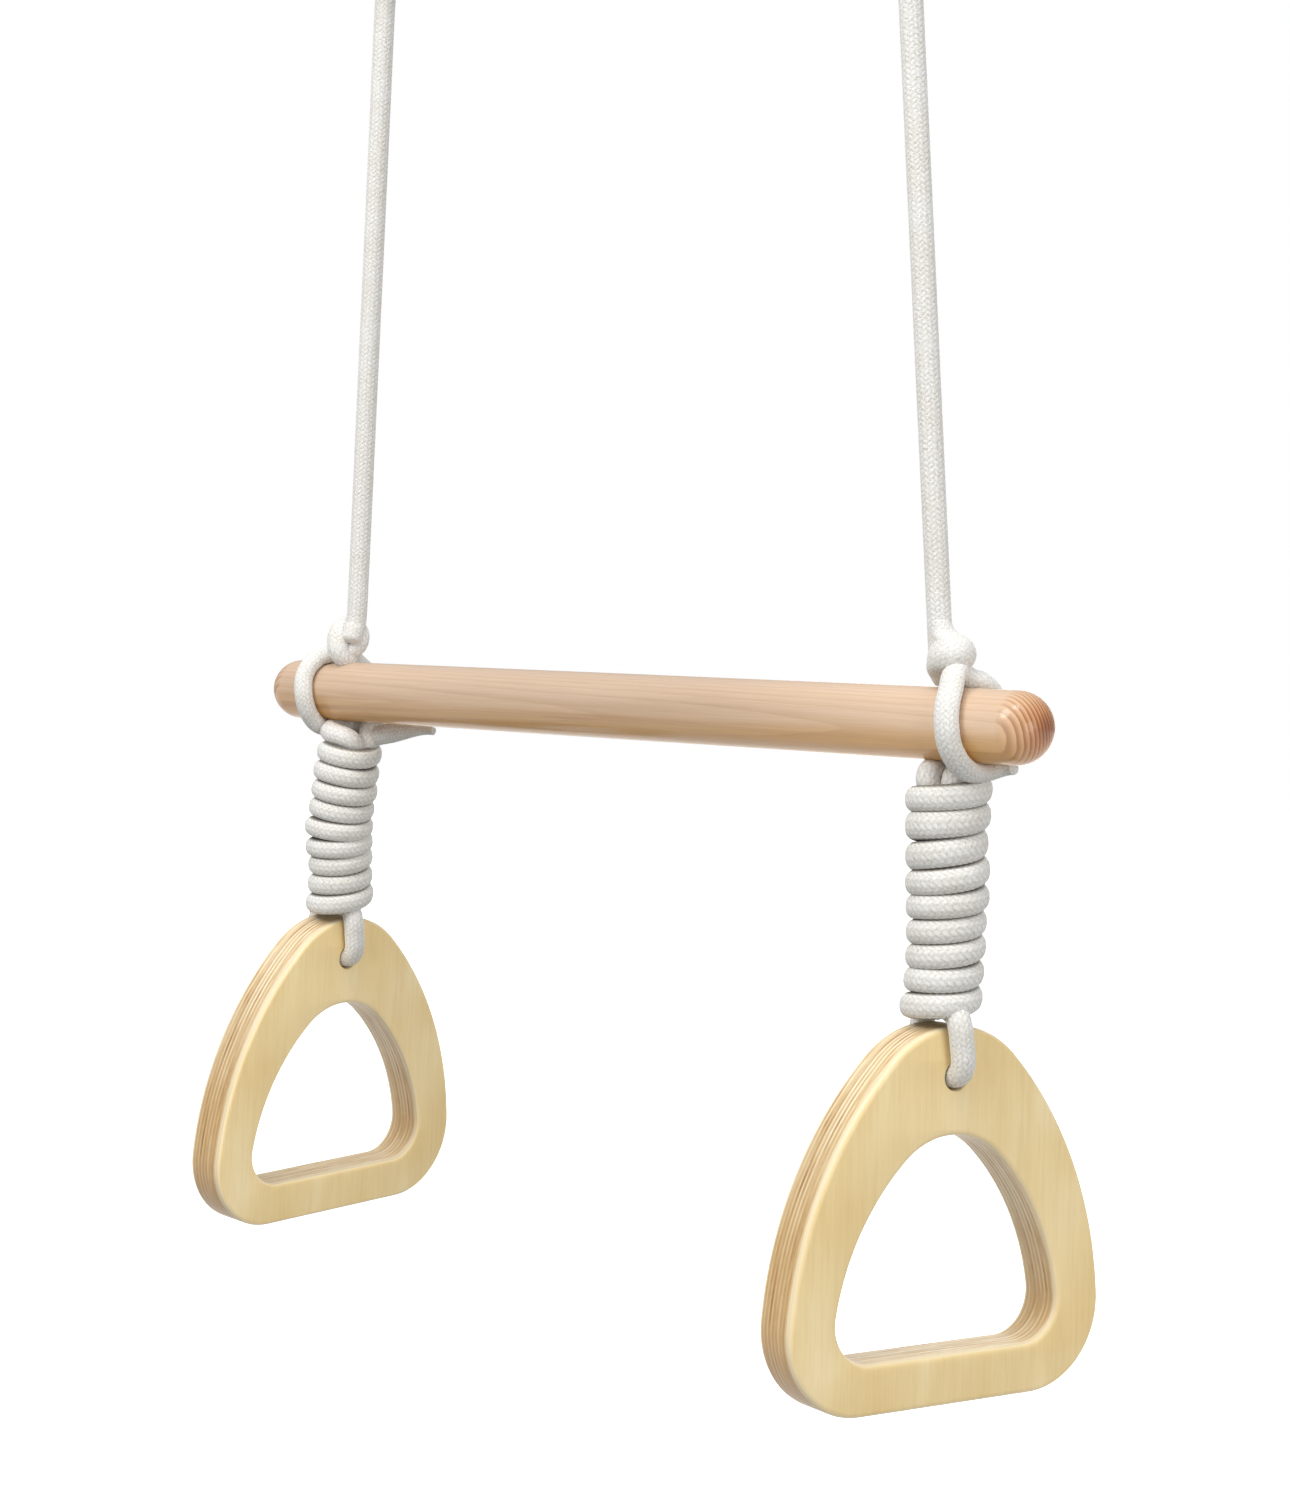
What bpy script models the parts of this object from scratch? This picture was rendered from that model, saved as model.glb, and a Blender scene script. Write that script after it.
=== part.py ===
"""Hanging trapeze: a turned wooden bar with a plywood gymnastic ring slung below each end.

Two cotton ropes carry the bar. Each hangs in a steel carabiner on a ceiling eye, is hitched round
the bar, and goes on down to a ring, where it is wound round itself in a coil of nine wraps.
Metres, +Z up. The origin is midway between the two ceiling plates, on the ceiling. The bar lies
along X. Each moving group of pieces hangs on an empty that stands on its joint's axis.
"""
from math import asin, atan2, cos, hypot, pi, radians, sin, sqrt

import bmesh
import bpy
from mathutils import Euler, Matrix, Vector

# Driving dimensions
GAP = 0.0003
HOOK_X = 0.180
BAR_DROP = 0.587
BAR_LENGTH = 0.567
BAR_RADIUS = 0.0175
ROPE_RADIUS = 0.0058

# Ceiling plate and the eye welded below it
PLATE_LENGTH = 0.090
PLATE_WIDTH = 0.036
PLATE_THICKNESS = 0.004
PLATE_CORNER = 0.008
PLATE_HOLE_X = 0.034
PLATE_HOLE_RADIUS = 0.003
EYE_ROD = 0.004
EYE_RADIUS = 0.013
EYE_DEPTH = 0.034

# Carabiner, measured from the ceiling eye's rod
CARABINER_ROD = 0.004
CARABINER_BOW = 0.013
CARABINER_TOP = 0.0083
CARABINER_LENGTH = 0.066
GATE_PIN_Z = -0.041
GATE_TIP_Z = -0.0093
GATE_RADIUS = 0.0032
GATE_PIN_RADIUS = 0.0014
GATE_PIN_LENGTH = 0.0092
TANG_HALF = 0.0020
SLOT_HALF = 0.0023
EAR_HALF = 0.0040
EAR_RADIUS = 0.0042
EAR_BELOW_PIN = 0.0020
NOSE_GAP = 0.0005
SLOT_DEPTH = 0.012
SLOT_CLEARANCE = 0.0006
PIN_HOLE_LENGTH = 0.020
STEM_ABOVE_PIN = 0.0050
TANG_WIDTH = 1.7 * GATE_RADIUS
TANG_HEIGHT = 0.0060
TANG_Z = 0.0031
DISC_RADIUS = 0.95 * GATE_RADIUS
DISC_INSET = 0.0001

# Rope work. The knot's outline is its (share of its radius, share of its half height).
WRAP_RADIUS = 0.0195
WRAP_GROOVE = 0.0168
WRAP_SHOULDER = WRAP_RADIUS - 0.0007
WRAP_END = WRAP_RADIUS - 0.0055
SHOULDER_AT = 0.24
TAIL_RADIUS = ROPE_RADIUS - 0.0008
LOOP_HEIGHT = 0.028
LOOP_WAIST = 0.0085
LOOP_FOOT_SPREAD = 0.0002
ROPE_END_ABOVE_KNOT = 0.0028
ROPE_STEPS = 14
TOP_WHIPPING = 0.048
TOP_WRAPS = 4
COIL_WRAPS = 9
KNOT_RADIUS = 0.0135
KNOT_Z = 0.030
KNOT_HALF = 0.010
KNOT_OUTLINE = ((0.0, 1.0), (0.55, 1.0), (0.88, 0.6), (1.0, 0.0), (0.88, -0.6), (0.55, -1.0), (0.0, -1.0))
LEG_TOP = -0.0181
LEG_BOTTOM = -0.0280
LEG_HALF_SPACING = 0.0060

# Plywood ring, in its own frame: x across, y through the thickness, z up from the bottom edge
RING_HEIGHT = 0.180
RING_THICKNESS = 0.0252
RING_EDGE_ROUND = 0.0029
RING_APEX_RADIUS = 0.053
RING_CORNER_X = 0.0516
RING_CORNER_RADIUS = 0.042
RING_SIDE_RADIUS = 0.1875
HAND_HOLE_BOTTOM = 0.0243
HAND_HOLE_HEIGHT = 0.1037
HAND_HOLE_APEX_RADIUS = 0.0419
HAND_HOLE_CORNER_X = 0.0464
HAND_HOLE_CORNER_RADIUS = 0.0201
HAND_HOLE_SIDE_RADIUS = 0.120
ROPE_HOLE_Z = 0.156
ROPE_HOLE_RADIUS = 0.0068
COIL_TO_RING = 0.0055

# The bight of rope through the ring's rope hole, measured out from the middle of the board
BIGHT_TOP_OUT = 0.0184
BIGHT_TOP_RISE = 0.0006
BIGHT_SHOULDER_OUT = 0.0188
BIGHT_OUT = RING_THICKNESS / 2 + ROPE_RADIUS + 0.0006
BIGHT_BEND = 0.0072

BAR_CENTRE = Vector((0.0, 0.0, -BAR_DROP))

# What differs from side to side. Places are measured from the bar's centre. A strand round the bar
# is a list of (angle, x): 90 degrees is the top of the bar, 180 its front and 270 its underside.
SIDES = {
    "right": {
        "hook_x": HOOK_X,
        "rope_foot_x": 0.2211,
        "knot_x": 0.2255,
        "coil_top": (0.2255, 0.0, -0.0305),
        "ring_bottom": (0.2274, -0.0061, -0.3229),
        "ring_yaw": 77.0,
        "ring_tilt": -2.1,
        "ring_lean": 2.4,
        "front_strand": ((125, 0.2400), (180, 0.2450), (225, 0.2470), (270, 0.2510), (300, 0.2570)),
        "back_strand": ((60, 0.2420), (15, 0.2430), (-30, 0.2430)),
    },
    "left": {
        "hook_x": -HOOK_X,
        "rope_foot_x": -0.2155,
        "knot_x": -0.2205,
        "coil_top": (-0.2150, 0.0, -0.0332),
        "ring_bottom": (-0.2534, 0.0045, -0.3155),
        "ring_yaw": 93.6,
        "ring_tilt": 4.0,
        "ring_lean": 0.3,
        "front_strand": ((130, -0.2335), (180, -0.2300), (225, -0.2345), (270, -0.2356), (320, -0.2356)),
        "back_strand": ((50, -0.2350), (20, -0.2355), (-15, -0.2358)),
        "tail": ((-0.1965, 0.0130, -0.0268), (-0.1830, 0.0165, -0.0250), (-0.1700, 0.0190, -0.0232)),
    },
}

MATERIALS = {
    "bar_wood": ((0.62, 0.40, 0.24), 0.35, 0.0),
    "birch_plywood": ((0.78, 0.64, 0.40), 0.45, 0.0),
    "cotton_rope": ((0.80, 0.78, 0.73), 0.90, 0.0),
    "zinc_steel": ((0.60, 0.61, 0.62), 0.35, 1.0),
    "stainless_steel": ((0.66, 0.66, 0.67), 0.25, 1.0),
}


def clear_scene():
    """Remove whatever the scene already holds."""
    for obj in list(bpy.data.objects):
        bpy.data.objects.remove(obj, do_unlink=True)


def make_collection(name):
    """Make a collection in the scene."""
    collection = bpy.data.collections.new(name)
    bpy.context.scene.collection.children.link(collection)
    return collection


clear_scene()
PARTS = make_collection("hanging_trapeze")
CUTTERS = make_collection("cutters")


def material(name):
    """Return the named material, made the first time it is asked for."""
    if name in bpy.data.materials:
        return bpy.data.materials[name]
    colour, roughness, metallic = MATERIALS[name]
    made = bpy.data.materials.new(name)
    made.use_nodes = True
    shader = made.node_tree.nodes["Principled BSDF"]
    shader.inputs["Base Color"].default_value = (*colour, 1.0)
    shader.inputs["Roughness"].default_value = roughness
    shader.inputs["Metallic"].default_value = metallic
    return made


def add_object(name, data, finish, parent=None, collection=PARTS):
    """Link a mesh or a curve as an object that hangs on an empty."""
    obj = bpy.data.objects.new(name, data)
    collection.objects.link(obj)
    obj.parent = parent
    if finish:
        data.materials.append(material(finish))
    return obj


def pivot(name, location, rotation=(0.0, 0.0, 0.0)):
    """Make the empty that marks a joint, for the pieces that turn about it."""
    empty = bpy.data.objects.new(name, None)
    PARTS.objects.link(empty)
    empty.empty_display_size = 0.02
    empty.location = location
    empty.rotation_euler = rotation
    return empty


def shade(obj, angle=40.0):
    """Shade round faces smooth and keep the edges sharp."""
    obj.data.shade_smooth()
    obj.data.set_sharp_from_angle(angle=radians(angle))
    return obj


def mesh_from(source):
    """Turn an object into plain mesh data with its caps welded, and remove the object."""
    bpy.context.view_layer.update()
    evaluated = source.evaluated_get(bpy.context.evaluated_depsgraph_get())
    data = bpy.data.meshes.new_from_object(evaluated)
    bm = bmesh.new()
    bm.from_mesh(data)
    bmesh.ops.remove_doubles(bm, verts=bm.verts, dist=0.00001)
    bmesh.ops.recalc_face_normals(bm, faces=bm.faces)
    bm.to_mesh(data)
    bm.free()
    bpy.data.objects.remove(source, do_unlink=True)
    return data


def cylinder(radius, length, segments=24, axis="Z"):
    """Return mesh data for a closed cylinder centred at the origin."""
    bm = bmesh.new()
    bmesh.ops.create_cone(
        bm, cap_ends=True, segments=segments, radius1=radius, radius2=radius, depth=length)
    if axis == "X":
        bmesh.ops.rotate(bm, verts=bm.verts, matrix=Matrix.Rotation(pi / 2, 3, "Y"))
    if axis == "Y":
        bmesh.ops.rotate(bm, verts=bm.verts, matrix=Matrix.Rotation(pi / 2, 3, "X"))
    data = bpy.data.meshes.new("cylinder")
    bm.to_mesh(data)
    bm.free()
    return data


def box(size_x, size_y, size_z):
    """Return mesh data for a box centred at the origin."""
    bm = bmesh.new()
    bmesh.ops.create_cube(bm, size=1.0)
    bmesh.ops.scale(bm, verts=bm.verts, vec=(size_x, size_y, size_z))
    data = bpy.data.meshes.new("box")
    bm.to_mesh(data)
    bm.free()
    return data


def moved(data, offset):
    """Shift mesh data by an offset."""
    data.transform(Matrix.Translation(offset))
    return data


def combine(obj, tool_data, operation):
    """Join a tool to an object, or cut it from the object."""
    tool = add_object(obj.name + "_tool", tool_data, None, obj.parent, CUTTERS)
    tool.hide_render = True
    tool.display_type = "WIRE"
    modifier = obj.modifiers.new(operation.lower(), "BOOLEAN")
    modifier.object = tool
    modifier.operation = operation
    modifier.solver = "EXACT"
    return obj


def tube(name, points, radius, finish, parent, origin=(0.0, 0.0, 0.0), resolution=2):
    """Make a round rod or rope along points, which are measured from the origin given."""
    curve = bpy.data.curves.new(name, "CURVE")
    curve.dimensions = "3D"
    curve.bevel_depth = radius
    curve.bevel_resolution = resolution
    curve.use_fill_caps = True
    spline = curve.splines.new("POLY")
    spline.points.add(len(points) - 1)
    spline.use_smooth = True
    for control, point in zip(spline.points, points):
        control.co = (*(Vector(point) - Vector(origin)), 1.0)
    return add_object(name, curve, finish, parent)


def smooth_path(points, steps):
    """Read points off one smooth curve (Catmull-Rom) through the route's own points."""
    route = [Vector(point) for point in points]
    route = [2 * route[0] - route[1]] + route + [2 * route[-1] - route[-2]]
    path = []
    for before, start, end, after in zip(route, route[1:], route[2:], route[3:]):
        for step in range(steps):
            t = step / steps
            path.append(0.5 * (2 * start + (end - before) * t
                               + (2 * before - 5 * start + 4 * end - after) * t * t
                               + (3 * start - before - 3 * end + after) * t ** 3))
    path.append(route[-2])
    return path


def turned(name, profile, finish, parent, steps=24):
    """Turn a profile of (radius, height) points, listed from top to bottom, about Z."""
    bm = bmesh.new()
    verts = [bm.verts.new((radius, 0.0, height)) for radius, height in profile]
    for first, second in zip(verts, verts[1:]):
        bm.edges.new((first, second))
    data = bpy.data.meshes.new(name)
    bm.to_mesh(data)
    bm.free()
    obj = add_object(name, data, finish, parent)
    screw = obj.modifiers.new("turn", "SCREW")
    screw.axis = "Z"
    screw.steps = steps
    screw.render_steps = steps
    screw.use_merge_vertices = True
    screw.merge_threshold = 0.00001
    screw.use_smooth_shade = True
    return obj


def wrapped_profile(wraps, length):
    """Return the outline of a tight coil of rope, from its top at height 0 down."""
    pitch = length / wraps
    profile = [(0.0, 0.0), (WRAP_END, 0.0)]
    for wrap in range(wraps):
        top = -wrap * pitch
        profile.append((WRAP_SHOULDER, top - SHOULDER_AT * pitch))
        profile.append((WRAP_RADIUS, top - pitch / 2))
        profile.append((WRAP_SHOULDER, top - (1 - SHOULDER_AT) * pitch))
        if wrap < wraps - 1:
            profile.append((WRAP_GROOVE, top - pitch))
    profile.append((WRAP_END, -length))
    profile.append((0.0, -length))
    return profile


def arc(centre, radius, start, end, steps):
    """Return points along an arc in the xz plane, both ends included."""
    angles = [start + (end - start) * step / steps for step in range(steps + 1)]
    return [(centre[0] + radius * cos(a), centre[1] + radius * sin(a)) for a in angles]


def rounded_triangle(bottom, height, apex_radius, corner_x, corner_radius, side_radius, steps):
    """Return the closed outline of a triangle with a round top, bowed sides and round corners."""
    apex = (0.0, bottom + height - apex_radius)
    corner = (corner_x, bottom + corner_radius)
    run = (corner[0] - apex[0], corner[1] - apex[1])
    span = hypot(*run)
    to_apex = side_radius - apex_radius
    to_corner = side_radius - corner_radius
    along = (to_apex ** 2 - to_corner ** 2 + span ** 2) / (2 * span)
    away = sqrt(to_apex ** 2 - along ** 2)
    unit = (run[0] / span, run[1] / span)
    side = (apex[0] + along * unit[0] + away * unit[1], apex[1] + along * unit[1] - away * unit[0])
    top_angle = atan2(apex[1] - side[1], apex[0] - side[0])
    low_angle = atan2(corner[1] - side[1], corner[0] - side[0])
    half = arc(apex, apex_radius, pi / 2, top_angle, steps)
    half += arc(side, side_radius, top_angle, low_angle, steps)[1:]
    half += arc(corner, corner_radius, low_angle, -pi / 2, steps)[1:]
    mirrored = [(-x, z) for x, z in reversed(half)]
    return half + mirrored[:-1]


def make_ceiling_fittings():
    """Make the two ceiling plates, each with the eye that is welded below it."""
    for side, place in SIDES.items():
        mark = pivot("ceiling_" + side, (place["hook_x"], 0.0, 0.0))
        plate = bpy.data.curves.new("ceiling_plate_" + side, "CURVE")
        plate.dimensions = "2D"
        plate.fill_mode = "BOTH"
        plate.extrude = PLATE_THICKNESS / 2
        corners = ((1, 1, 0), (-1, 1, pi / 2), (-1, -1, pi), (1, -1, 3 * pi / 2))
        outline = []
        for sign_x, sign_y, start in corners:
            centre = (sign_x * (PLATE_LENGTH / 2 - PLATE_CORNER),
                      sign_y * (PLATE_WIDTH / 2 - PLATE_CORNER))
            outline += arc(centre, PLATE_CORNER, start, start + pi / 2, 4)
        add_loop(plate, outline)
        for hole_x in (-PLATE_HOLE_X, PLATE_HOLE_X):
            add_loop(plate, arc((hole_x, 0.0), PLATE_HOLE_RADIUS, 2 * pi, 2 * pi / 16, 15))
        obj = add_object("ceiling_plate_" + side, plate, "zinc_steel", mark)
        obj.location = (0.0, 0.0, -PLATE_THICKNESS / 2)

        centre_z = EYE_RADIUS - EYE_DEPTH
        top_z = -PLATE_THICKNESS - GAP
        bend = arc((0.0, centre_z), EYE_RADIUS, 0.0, -pi, 12)
        points = [(EYE_RADIUS, 0.0, top_z)]
        points += [(x, 0.0, z) for x, z in bend]
        points.append((-EYE_RADIUS, 0.0, top_z))
        tube("ceiling_eye_" + side, points, EYE_ROD, "zinc_steel", mark)


def add_loop(curve, outline):
    """Add a closed outline to a flat curve."""
    spline = curve.splines.new("POLY")
    spline.points.add(len(outline) - 1)
    for control, (x, y) in zip(spline.points, outline):
        control.co = (x, y, 0.0, 1.0)
    spline.use_cyclic_u = True


def hook_point(place):
    """Return the middle of the ceiling eye's rod, where the carabiner hangs."""
    return Vector((place["hook_x"], 0.0, -EYE_DEPTH))


def rope_direction(place):
    """Return the unit direction in which a rope hangs, from its ceiling eye to its knot."""
    foot = BAR_CENTRE + Vector((place["rope_foot_x"], 0.0, KNOT_Z))
    return (foot - hook_point(place)).normalized()


def rope_lean(place):
    """Return the turn about Y that brings straight down onto the rope's direction."""
    return asin(-rope_direction(place).x)


def sway_point(place):
    """Return the middle of the carabiner's lower bow, where the rope's loop hangs."""
    return hook_point(place) + rope_direction(place) * (CARABINER_LENGTH - CARABINER_TOP)


def make_carabiner(side, place):
    """Make the carabiner's body, its gate and the gate's pin."""
    lean = (0.0, rope_lean(place), 0.0)
    mark = pivot("swing_" + side, hook_point(place), lean)
    low_centre = CARABINER_TOP - CARABINER_LENGTH + CARABINER_BOW
    high_centre = CARABINER_TOP - CARABINER_BOW
    path = [(CARABINER_BOW, GATE_PIN_Z - EAR_BELOW_PIN)]
    path += arc((0.0, low_centre), CARABINER_BOW, 0.0, -pi, 10)
    path += arc((0.0, high_centre), CARABINER_BOW, pi, 0.0, 10)
    path.append((CARABINER_BOW, GATE_TIP_Z + NOSE_GAP))
    points = [(0.0, y, z) for y, z in path]
    rod = tube("carabiner_rod", points, CARABINER_ROD, None, mark, resolution=3)
    body = add_object("carabiner_body_" + side, mesh_from(rod), "stainless_steel", mark)
    pin_place = (0.0, CARABINER_BOW, GATE_PIN_Z)
    combine(body, moved(cylinder(EAR_RADIUS, 2 * EAR_HALF, axis="X"), pin_place), "UNION")
    slot = box(2 * SLOT_HALF, SLOT_DEPTH, SLOT_DEPTH)
    slot_floor = GATE_PIN_Z - GATE_RADIUS - SLOT_CLEARANCE
    slot_place = (0.0, CARABINER_BOW, slot_floor + SLOT_DEPTH / 2)
    combine(body, moved(slot, slot_place), "DIFFERENCE")
    pin_hole = cylinder(GATE_PIN_RADIUS + GAP, PIN_HOLE_LENGTH, 16, "X")
    combine(body, moved(pin_hole, pin_place), "DIFFERENCE")
    shade(body)

    pin = add_object("gate_pin_" + side, cylinder(GATE_PIN_RADIUS, GATE_PIN_LENGTH, 16, "X"),
                     "zinc_steel", mark)
    pin.location = pin_place
    shade(pin)

    hinge = pivot("gate_hinge_" + side, pin_place)
    hinge.parent = mark
    stem_top = GATE_TIP_Z - GATE_PIN_Z
    stem_middle = (stem_top + STEM_ABOVE_PIN) / 2
    stem = moved(cylinder(GATE_RADIUS, stem_top - STEM_ABOVE_PIN, 16), (0.0, 0.0, stem_middle))
    gate = add_object("carabiner_gate_" + side, stem, "stainless_steel", hinge)
    tang = moved(box(2 * TANG_HALF, TANG_WIDTH, TANG_HEIGHT), (0.0, 0.0, TANG_Z))
    combine(gate, tang, "UNION")
    combine(gate, cylinder(DISC_RADIUS, 2 * (TANG_HALF - DISC_INSET), 20, "X"), "UNION")
    combine(gate, cylinder(GATE_PIN_RADIUS + GAP, PIN_HOLE_LENGTH, 16, "X"), "DIFFERENCE")
    shade(gate)


def make_hanging_rope(side, place):
    """Make the loop in the carabiner, the whipping that closes it, and the rope down to the bar."""
    mark = pivot("sway_" + side, sway_point(place), (0.0, rope_lean(place), 0.0))
    bend = CARABINER_ROD + ROPE_RADIUS + GAP
    crown = [(x, 0.0, z) for x, z in arc((0.0, 0.0), bend, pi, 0.0, 10)]
    foot = LEG_HALF_SPACING + LOOP_FOOT_SPREAD
    left_run = smooth_path([(-foot, 0.0, -LOOP_HEIGHT), (-foot, 0.0, -0.88 * LOOP_HEIGHT),
                            (-LOOP_WAIST, 0.0, -0.5 * LOOP_HEIGHT), (-bend, 0.0, -0.2 * LOOP_HEIGHT)], 2)
    right_run = [(-x, y, z) for x, y, z in reversed(left_run)]
    tube("top_loop_" + side, left_run + crown + right_run, ROPE_RADIUS, "cotton_rope", mark)

    whipping = turned("top_whipping_" + side, wrapped_profile(TOP_WRAPS, TOP_WHIPPING),
                      "cotton_rope", mark)
    whipping.location = (0.0, 0.0, -LOOP_HEIGHT - 3 * GAP)

    start = -LOOP_HEIGHT - TOP_WHIPPING - 4 * GAP
    foot_point = BAR_CENTRE + Vector((place["rope_foot_x"], 0.0, KNOT_Z))
    end = -(foot_point - sway_point(place)).length + KNOT_HALF + ROPE_END_ABOVE_KNOT
    points = [(0.0, 0.0, start + (end - start) * step / ROPE_STEPS) for step in range(ROPE_STEPS + 1)]
    tube("hanging_rope_" + side, points, ROPE_RADIUS, "cotton_rope", mark)


def round_bar(stations, steps=6):
    """Return points along a strand that lies round the bar, through its (angle, x) stations."""
    radius = BAR_RADIUS + GAP + ROPE_RADIUS
    path = []
    for angle, x, _ in smooth_path([(angle, x, 0.0) for angle, x in stations], steps):
        path.append((x, radius * cos(radians(angle)), radius * sin(radians(angle))))
    return path


def make_bar():
    """Make the bar, with its half-round ends, and the knots that hold it."""
    mark = pivot("bar_level", BAR_CENTRE + Vector((SIDES["right"]["rope_foot_x"], 0.0, KNOT_Z)))
    half = BAR_LENGTH / 2
    dome = arc((0.0, 0.0), BAR_RADIUS, pi / 2, 0.0, 7)
    profile = [(radius, half - BAR_RADIUS + height) for radius, height in dome]
    profile += [(radius, -height) for radius, height in reversed(profile)]
    profile[0] = (0.0, half)
    profile[-1] = (0.0, -half)
    bar = turned("bar", profile, "bar_wood", mark, steps=32)
    bar.rotation_euler = (0.0, pi / 2, 0.0)
    bar.location = BAR_CENTRE - mark.location

    for side, place in SIDES.items():
        knot_profile = [(across * KNOT_RADIUS, up * KNOT_HALF) for across, up in KNOT_OUTLINE]
        knot = turned("knot_" + side, knot_profile, "cotton_rope", mark)
        knot.location = BAR_CENTRE + Vector((place["knot_x"], 0.0, KNOT_Z)) - mark.location
        origin = mark.location - BAR_CENTRE
        for strand in ("front_strand", "back_strand"):
            tube(strand + "_" + side, round_bar(place[strand]), ROPE_RADIUS, "cotton_rope", mark, origin)
        if "tail" in place:
            tube("tail_" + side, place["tail"], TAIL_RADIUS, "cotton_rope", mark, origin)


def ring_rotation(place):
    """Return how a ring is turned: twisted about the vertical, tilted, and leaned in its own plane."""
    turn = Matrix.Rotation(radians(place["ring_yaw"]), 3, "Z")
    tilt = Matrix.Rotation(radians(place["ring_tilt"]), 3, "X")
    lean = Matrix.Rotation(radians(place["ring_lean"]), 3, "Y")
    return turn @ tilt @ lean


def ring_point(place, height):
    """Return the world place of a point on a ring's middle line, at a height above its bottom."""
    bottom = BAR_CENTRE + Vector(place["ring_bottom"])
    return bottom + ring_rotation(place) @ Vector((0.0, 0.0, height))


def coil_ends(place):
    """Return the world places of the coil's top and bottom, on the line from the bar to the ring."""
    top = BAR_CENTRE + Vector(place["coil_top"])
    hole = ring_point(place, ROPE_HOLE_Z)
    line = (hole - top).normalized()
    to_hole = (hole - top).length
    length = to_hole - (RING_HEIGHT - ROPE_HOLE_Z) - COIL_TO_RING
    return top, top + line * length


def make_sling(side, place):
    """Make the rope below the bar: two legs, the coil round them, and the bight through the ring."""
    top, bottom = coil_ends(place)
    swing = pivot("sling_swing_" + side, BAR_CENTRE + Vector((top.x, 0.0, 0.0)))
    for name, offset in (("inner_leg_", -1), ("outer_leg_", 1)):
        sign = 1 if side == "right" else -1
        x = offset * sign * LEG_HALF_SPACING
        heights = (LEG_TOP, (LEG_TOP + LEG_BOTTOM) / 2, LEG_BOTTOM)
        tube(name + side, [(x, 0.0, z) for z in heights], ROPE_RADIUS, "cotton_rope", swing)

    line = (bottom - top).normalized()
    turn = Vector((0.0, 0.0, -1.0)).rotation_difference(line).to_euler()
    mark = pivot("coil_tilt_" + side, top, turn)
    turned("coil_" + side, wrapped_profile(COIL_WRAPS, (bottom - top).length), "cotton_rope", mark)

    twist = pivot("ring_twist_" + side, bottom)
    rotation = ring_rotation(place)
    hole = ring_point(place, ROPE_HOLE_Z)
    rise = RING_HEIGHT - ROPE_HOLE_Z
    side_run = [(-BIGHT_TOP_OUT, rise + BIGHT_TOP_RISE), (-BIGHT_SHOULDER_OUT, 0.7 * rise),
                (-BIGHT_OUT, 0.5 * rise), (-BIGHT_OUT, BIGHT_BEND)]
    turn_in = arc((-BIGHT_OUT + BIGHT_BEND, BIGHT_BEND), BIGHT_BEND, pi, 1.5 * pi, 4)[1:]
    near = side_run + turn_in
    far = [(-y, z) for y, z in reversed(near)]
    points = [rotation @ Vector((0.0, y, z)) + hole - bottom for y, z in near + far]
    tube("ring_bight_" + side, points, ROPE_RADIUS, "cotton_rope", twist, resolution=3)


def make_ring(side, place):
    """Make a plywood ring with rounded edges, its hand hole and its rope hole."""
    rotation = ring_rotation(place)
    mark = pivot("ring_rock_" + side, ring_point(place, ROPE_HOLE_Z), rotation.to_euler())
    outline = bpy.data.curves.new("ring_outline_" + side, "CURVE")
    outline.dimensions = "2D"
    outline.fill_mode = "BOTH"
    outline.extrude = RING_THICKNESS / 2 - RING_EDGE_ROUND
    outline.bevel_depth = RING_EDGE_ROUND
    outline.bevel_resolution = 1
    outline.offset = -RING_EDGE_ROUND
    add_loop(outline, rounded_triangle(
        0.0, RING_HEIGHT, RING_APEX_RADIUS, RING_CORNER_X, RING_CORNER_RADIUS, RING_SIDE_RADIUS, 8))
    add_loop(outline, list(reversed(rounded_triangle(
        HAND_HOLE_BOTTOM, HAND_HOLE_HEIGHT, HAND_HOLE_APEX_RADIUS, HAND_HOLE_CORNER_X,
        HAND_HOLE_CORNER_RADIUS, HAND_HOLE_SIDE_RADIUS, 7))))
    flat = add_object("ring_outline_" + side, outline, None)
    data = mesh_from(flat)
    data.transform(Matrix.Translation((0.0, 0.0, -ROPE_HOLE_Z)) @ Matrix.Rotation(pi / 2, 4, "X"))
    ring = add_object("ring_" + side, data, "birch_plywood", mark)
    combine(ring, cylinder(ROPE_HOLE_RADIUS, 2 * RING_THICKNESS, 20, "Y"), "DIFFERENCE")
    shade(ring)


def main():
    """Build the whole trapeze."""
    make_ceiling_fittings()
    make_bar()
    for side, place in SIDES.items():
        make_carabiner(side, place)
        make_hanging_rope(side, place)
        make_sling(side, place)
        make_ring(side, place)


main()
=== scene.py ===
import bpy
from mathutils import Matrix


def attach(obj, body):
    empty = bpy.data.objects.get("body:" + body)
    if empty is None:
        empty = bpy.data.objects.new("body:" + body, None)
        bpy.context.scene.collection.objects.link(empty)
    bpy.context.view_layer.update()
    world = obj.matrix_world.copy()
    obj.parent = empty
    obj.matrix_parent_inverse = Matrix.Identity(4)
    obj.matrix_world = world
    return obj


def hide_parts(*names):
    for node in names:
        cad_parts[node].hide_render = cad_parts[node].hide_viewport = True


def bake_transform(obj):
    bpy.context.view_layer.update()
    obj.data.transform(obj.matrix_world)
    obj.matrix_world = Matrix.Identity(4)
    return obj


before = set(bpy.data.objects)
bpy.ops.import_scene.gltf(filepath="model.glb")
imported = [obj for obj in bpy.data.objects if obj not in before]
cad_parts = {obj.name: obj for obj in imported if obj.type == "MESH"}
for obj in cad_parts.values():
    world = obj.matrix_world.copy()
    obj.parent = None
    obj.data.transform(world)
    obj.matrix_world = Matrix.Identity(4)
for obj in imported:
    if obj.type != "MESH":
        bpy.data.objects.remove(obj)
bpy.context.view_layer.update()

from math import atan2, cos, hypot, pi, radians, sin, sqrt

import bmesh
import bpy
import numpy as np
from mathutils import Matrix, Vector

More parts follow.
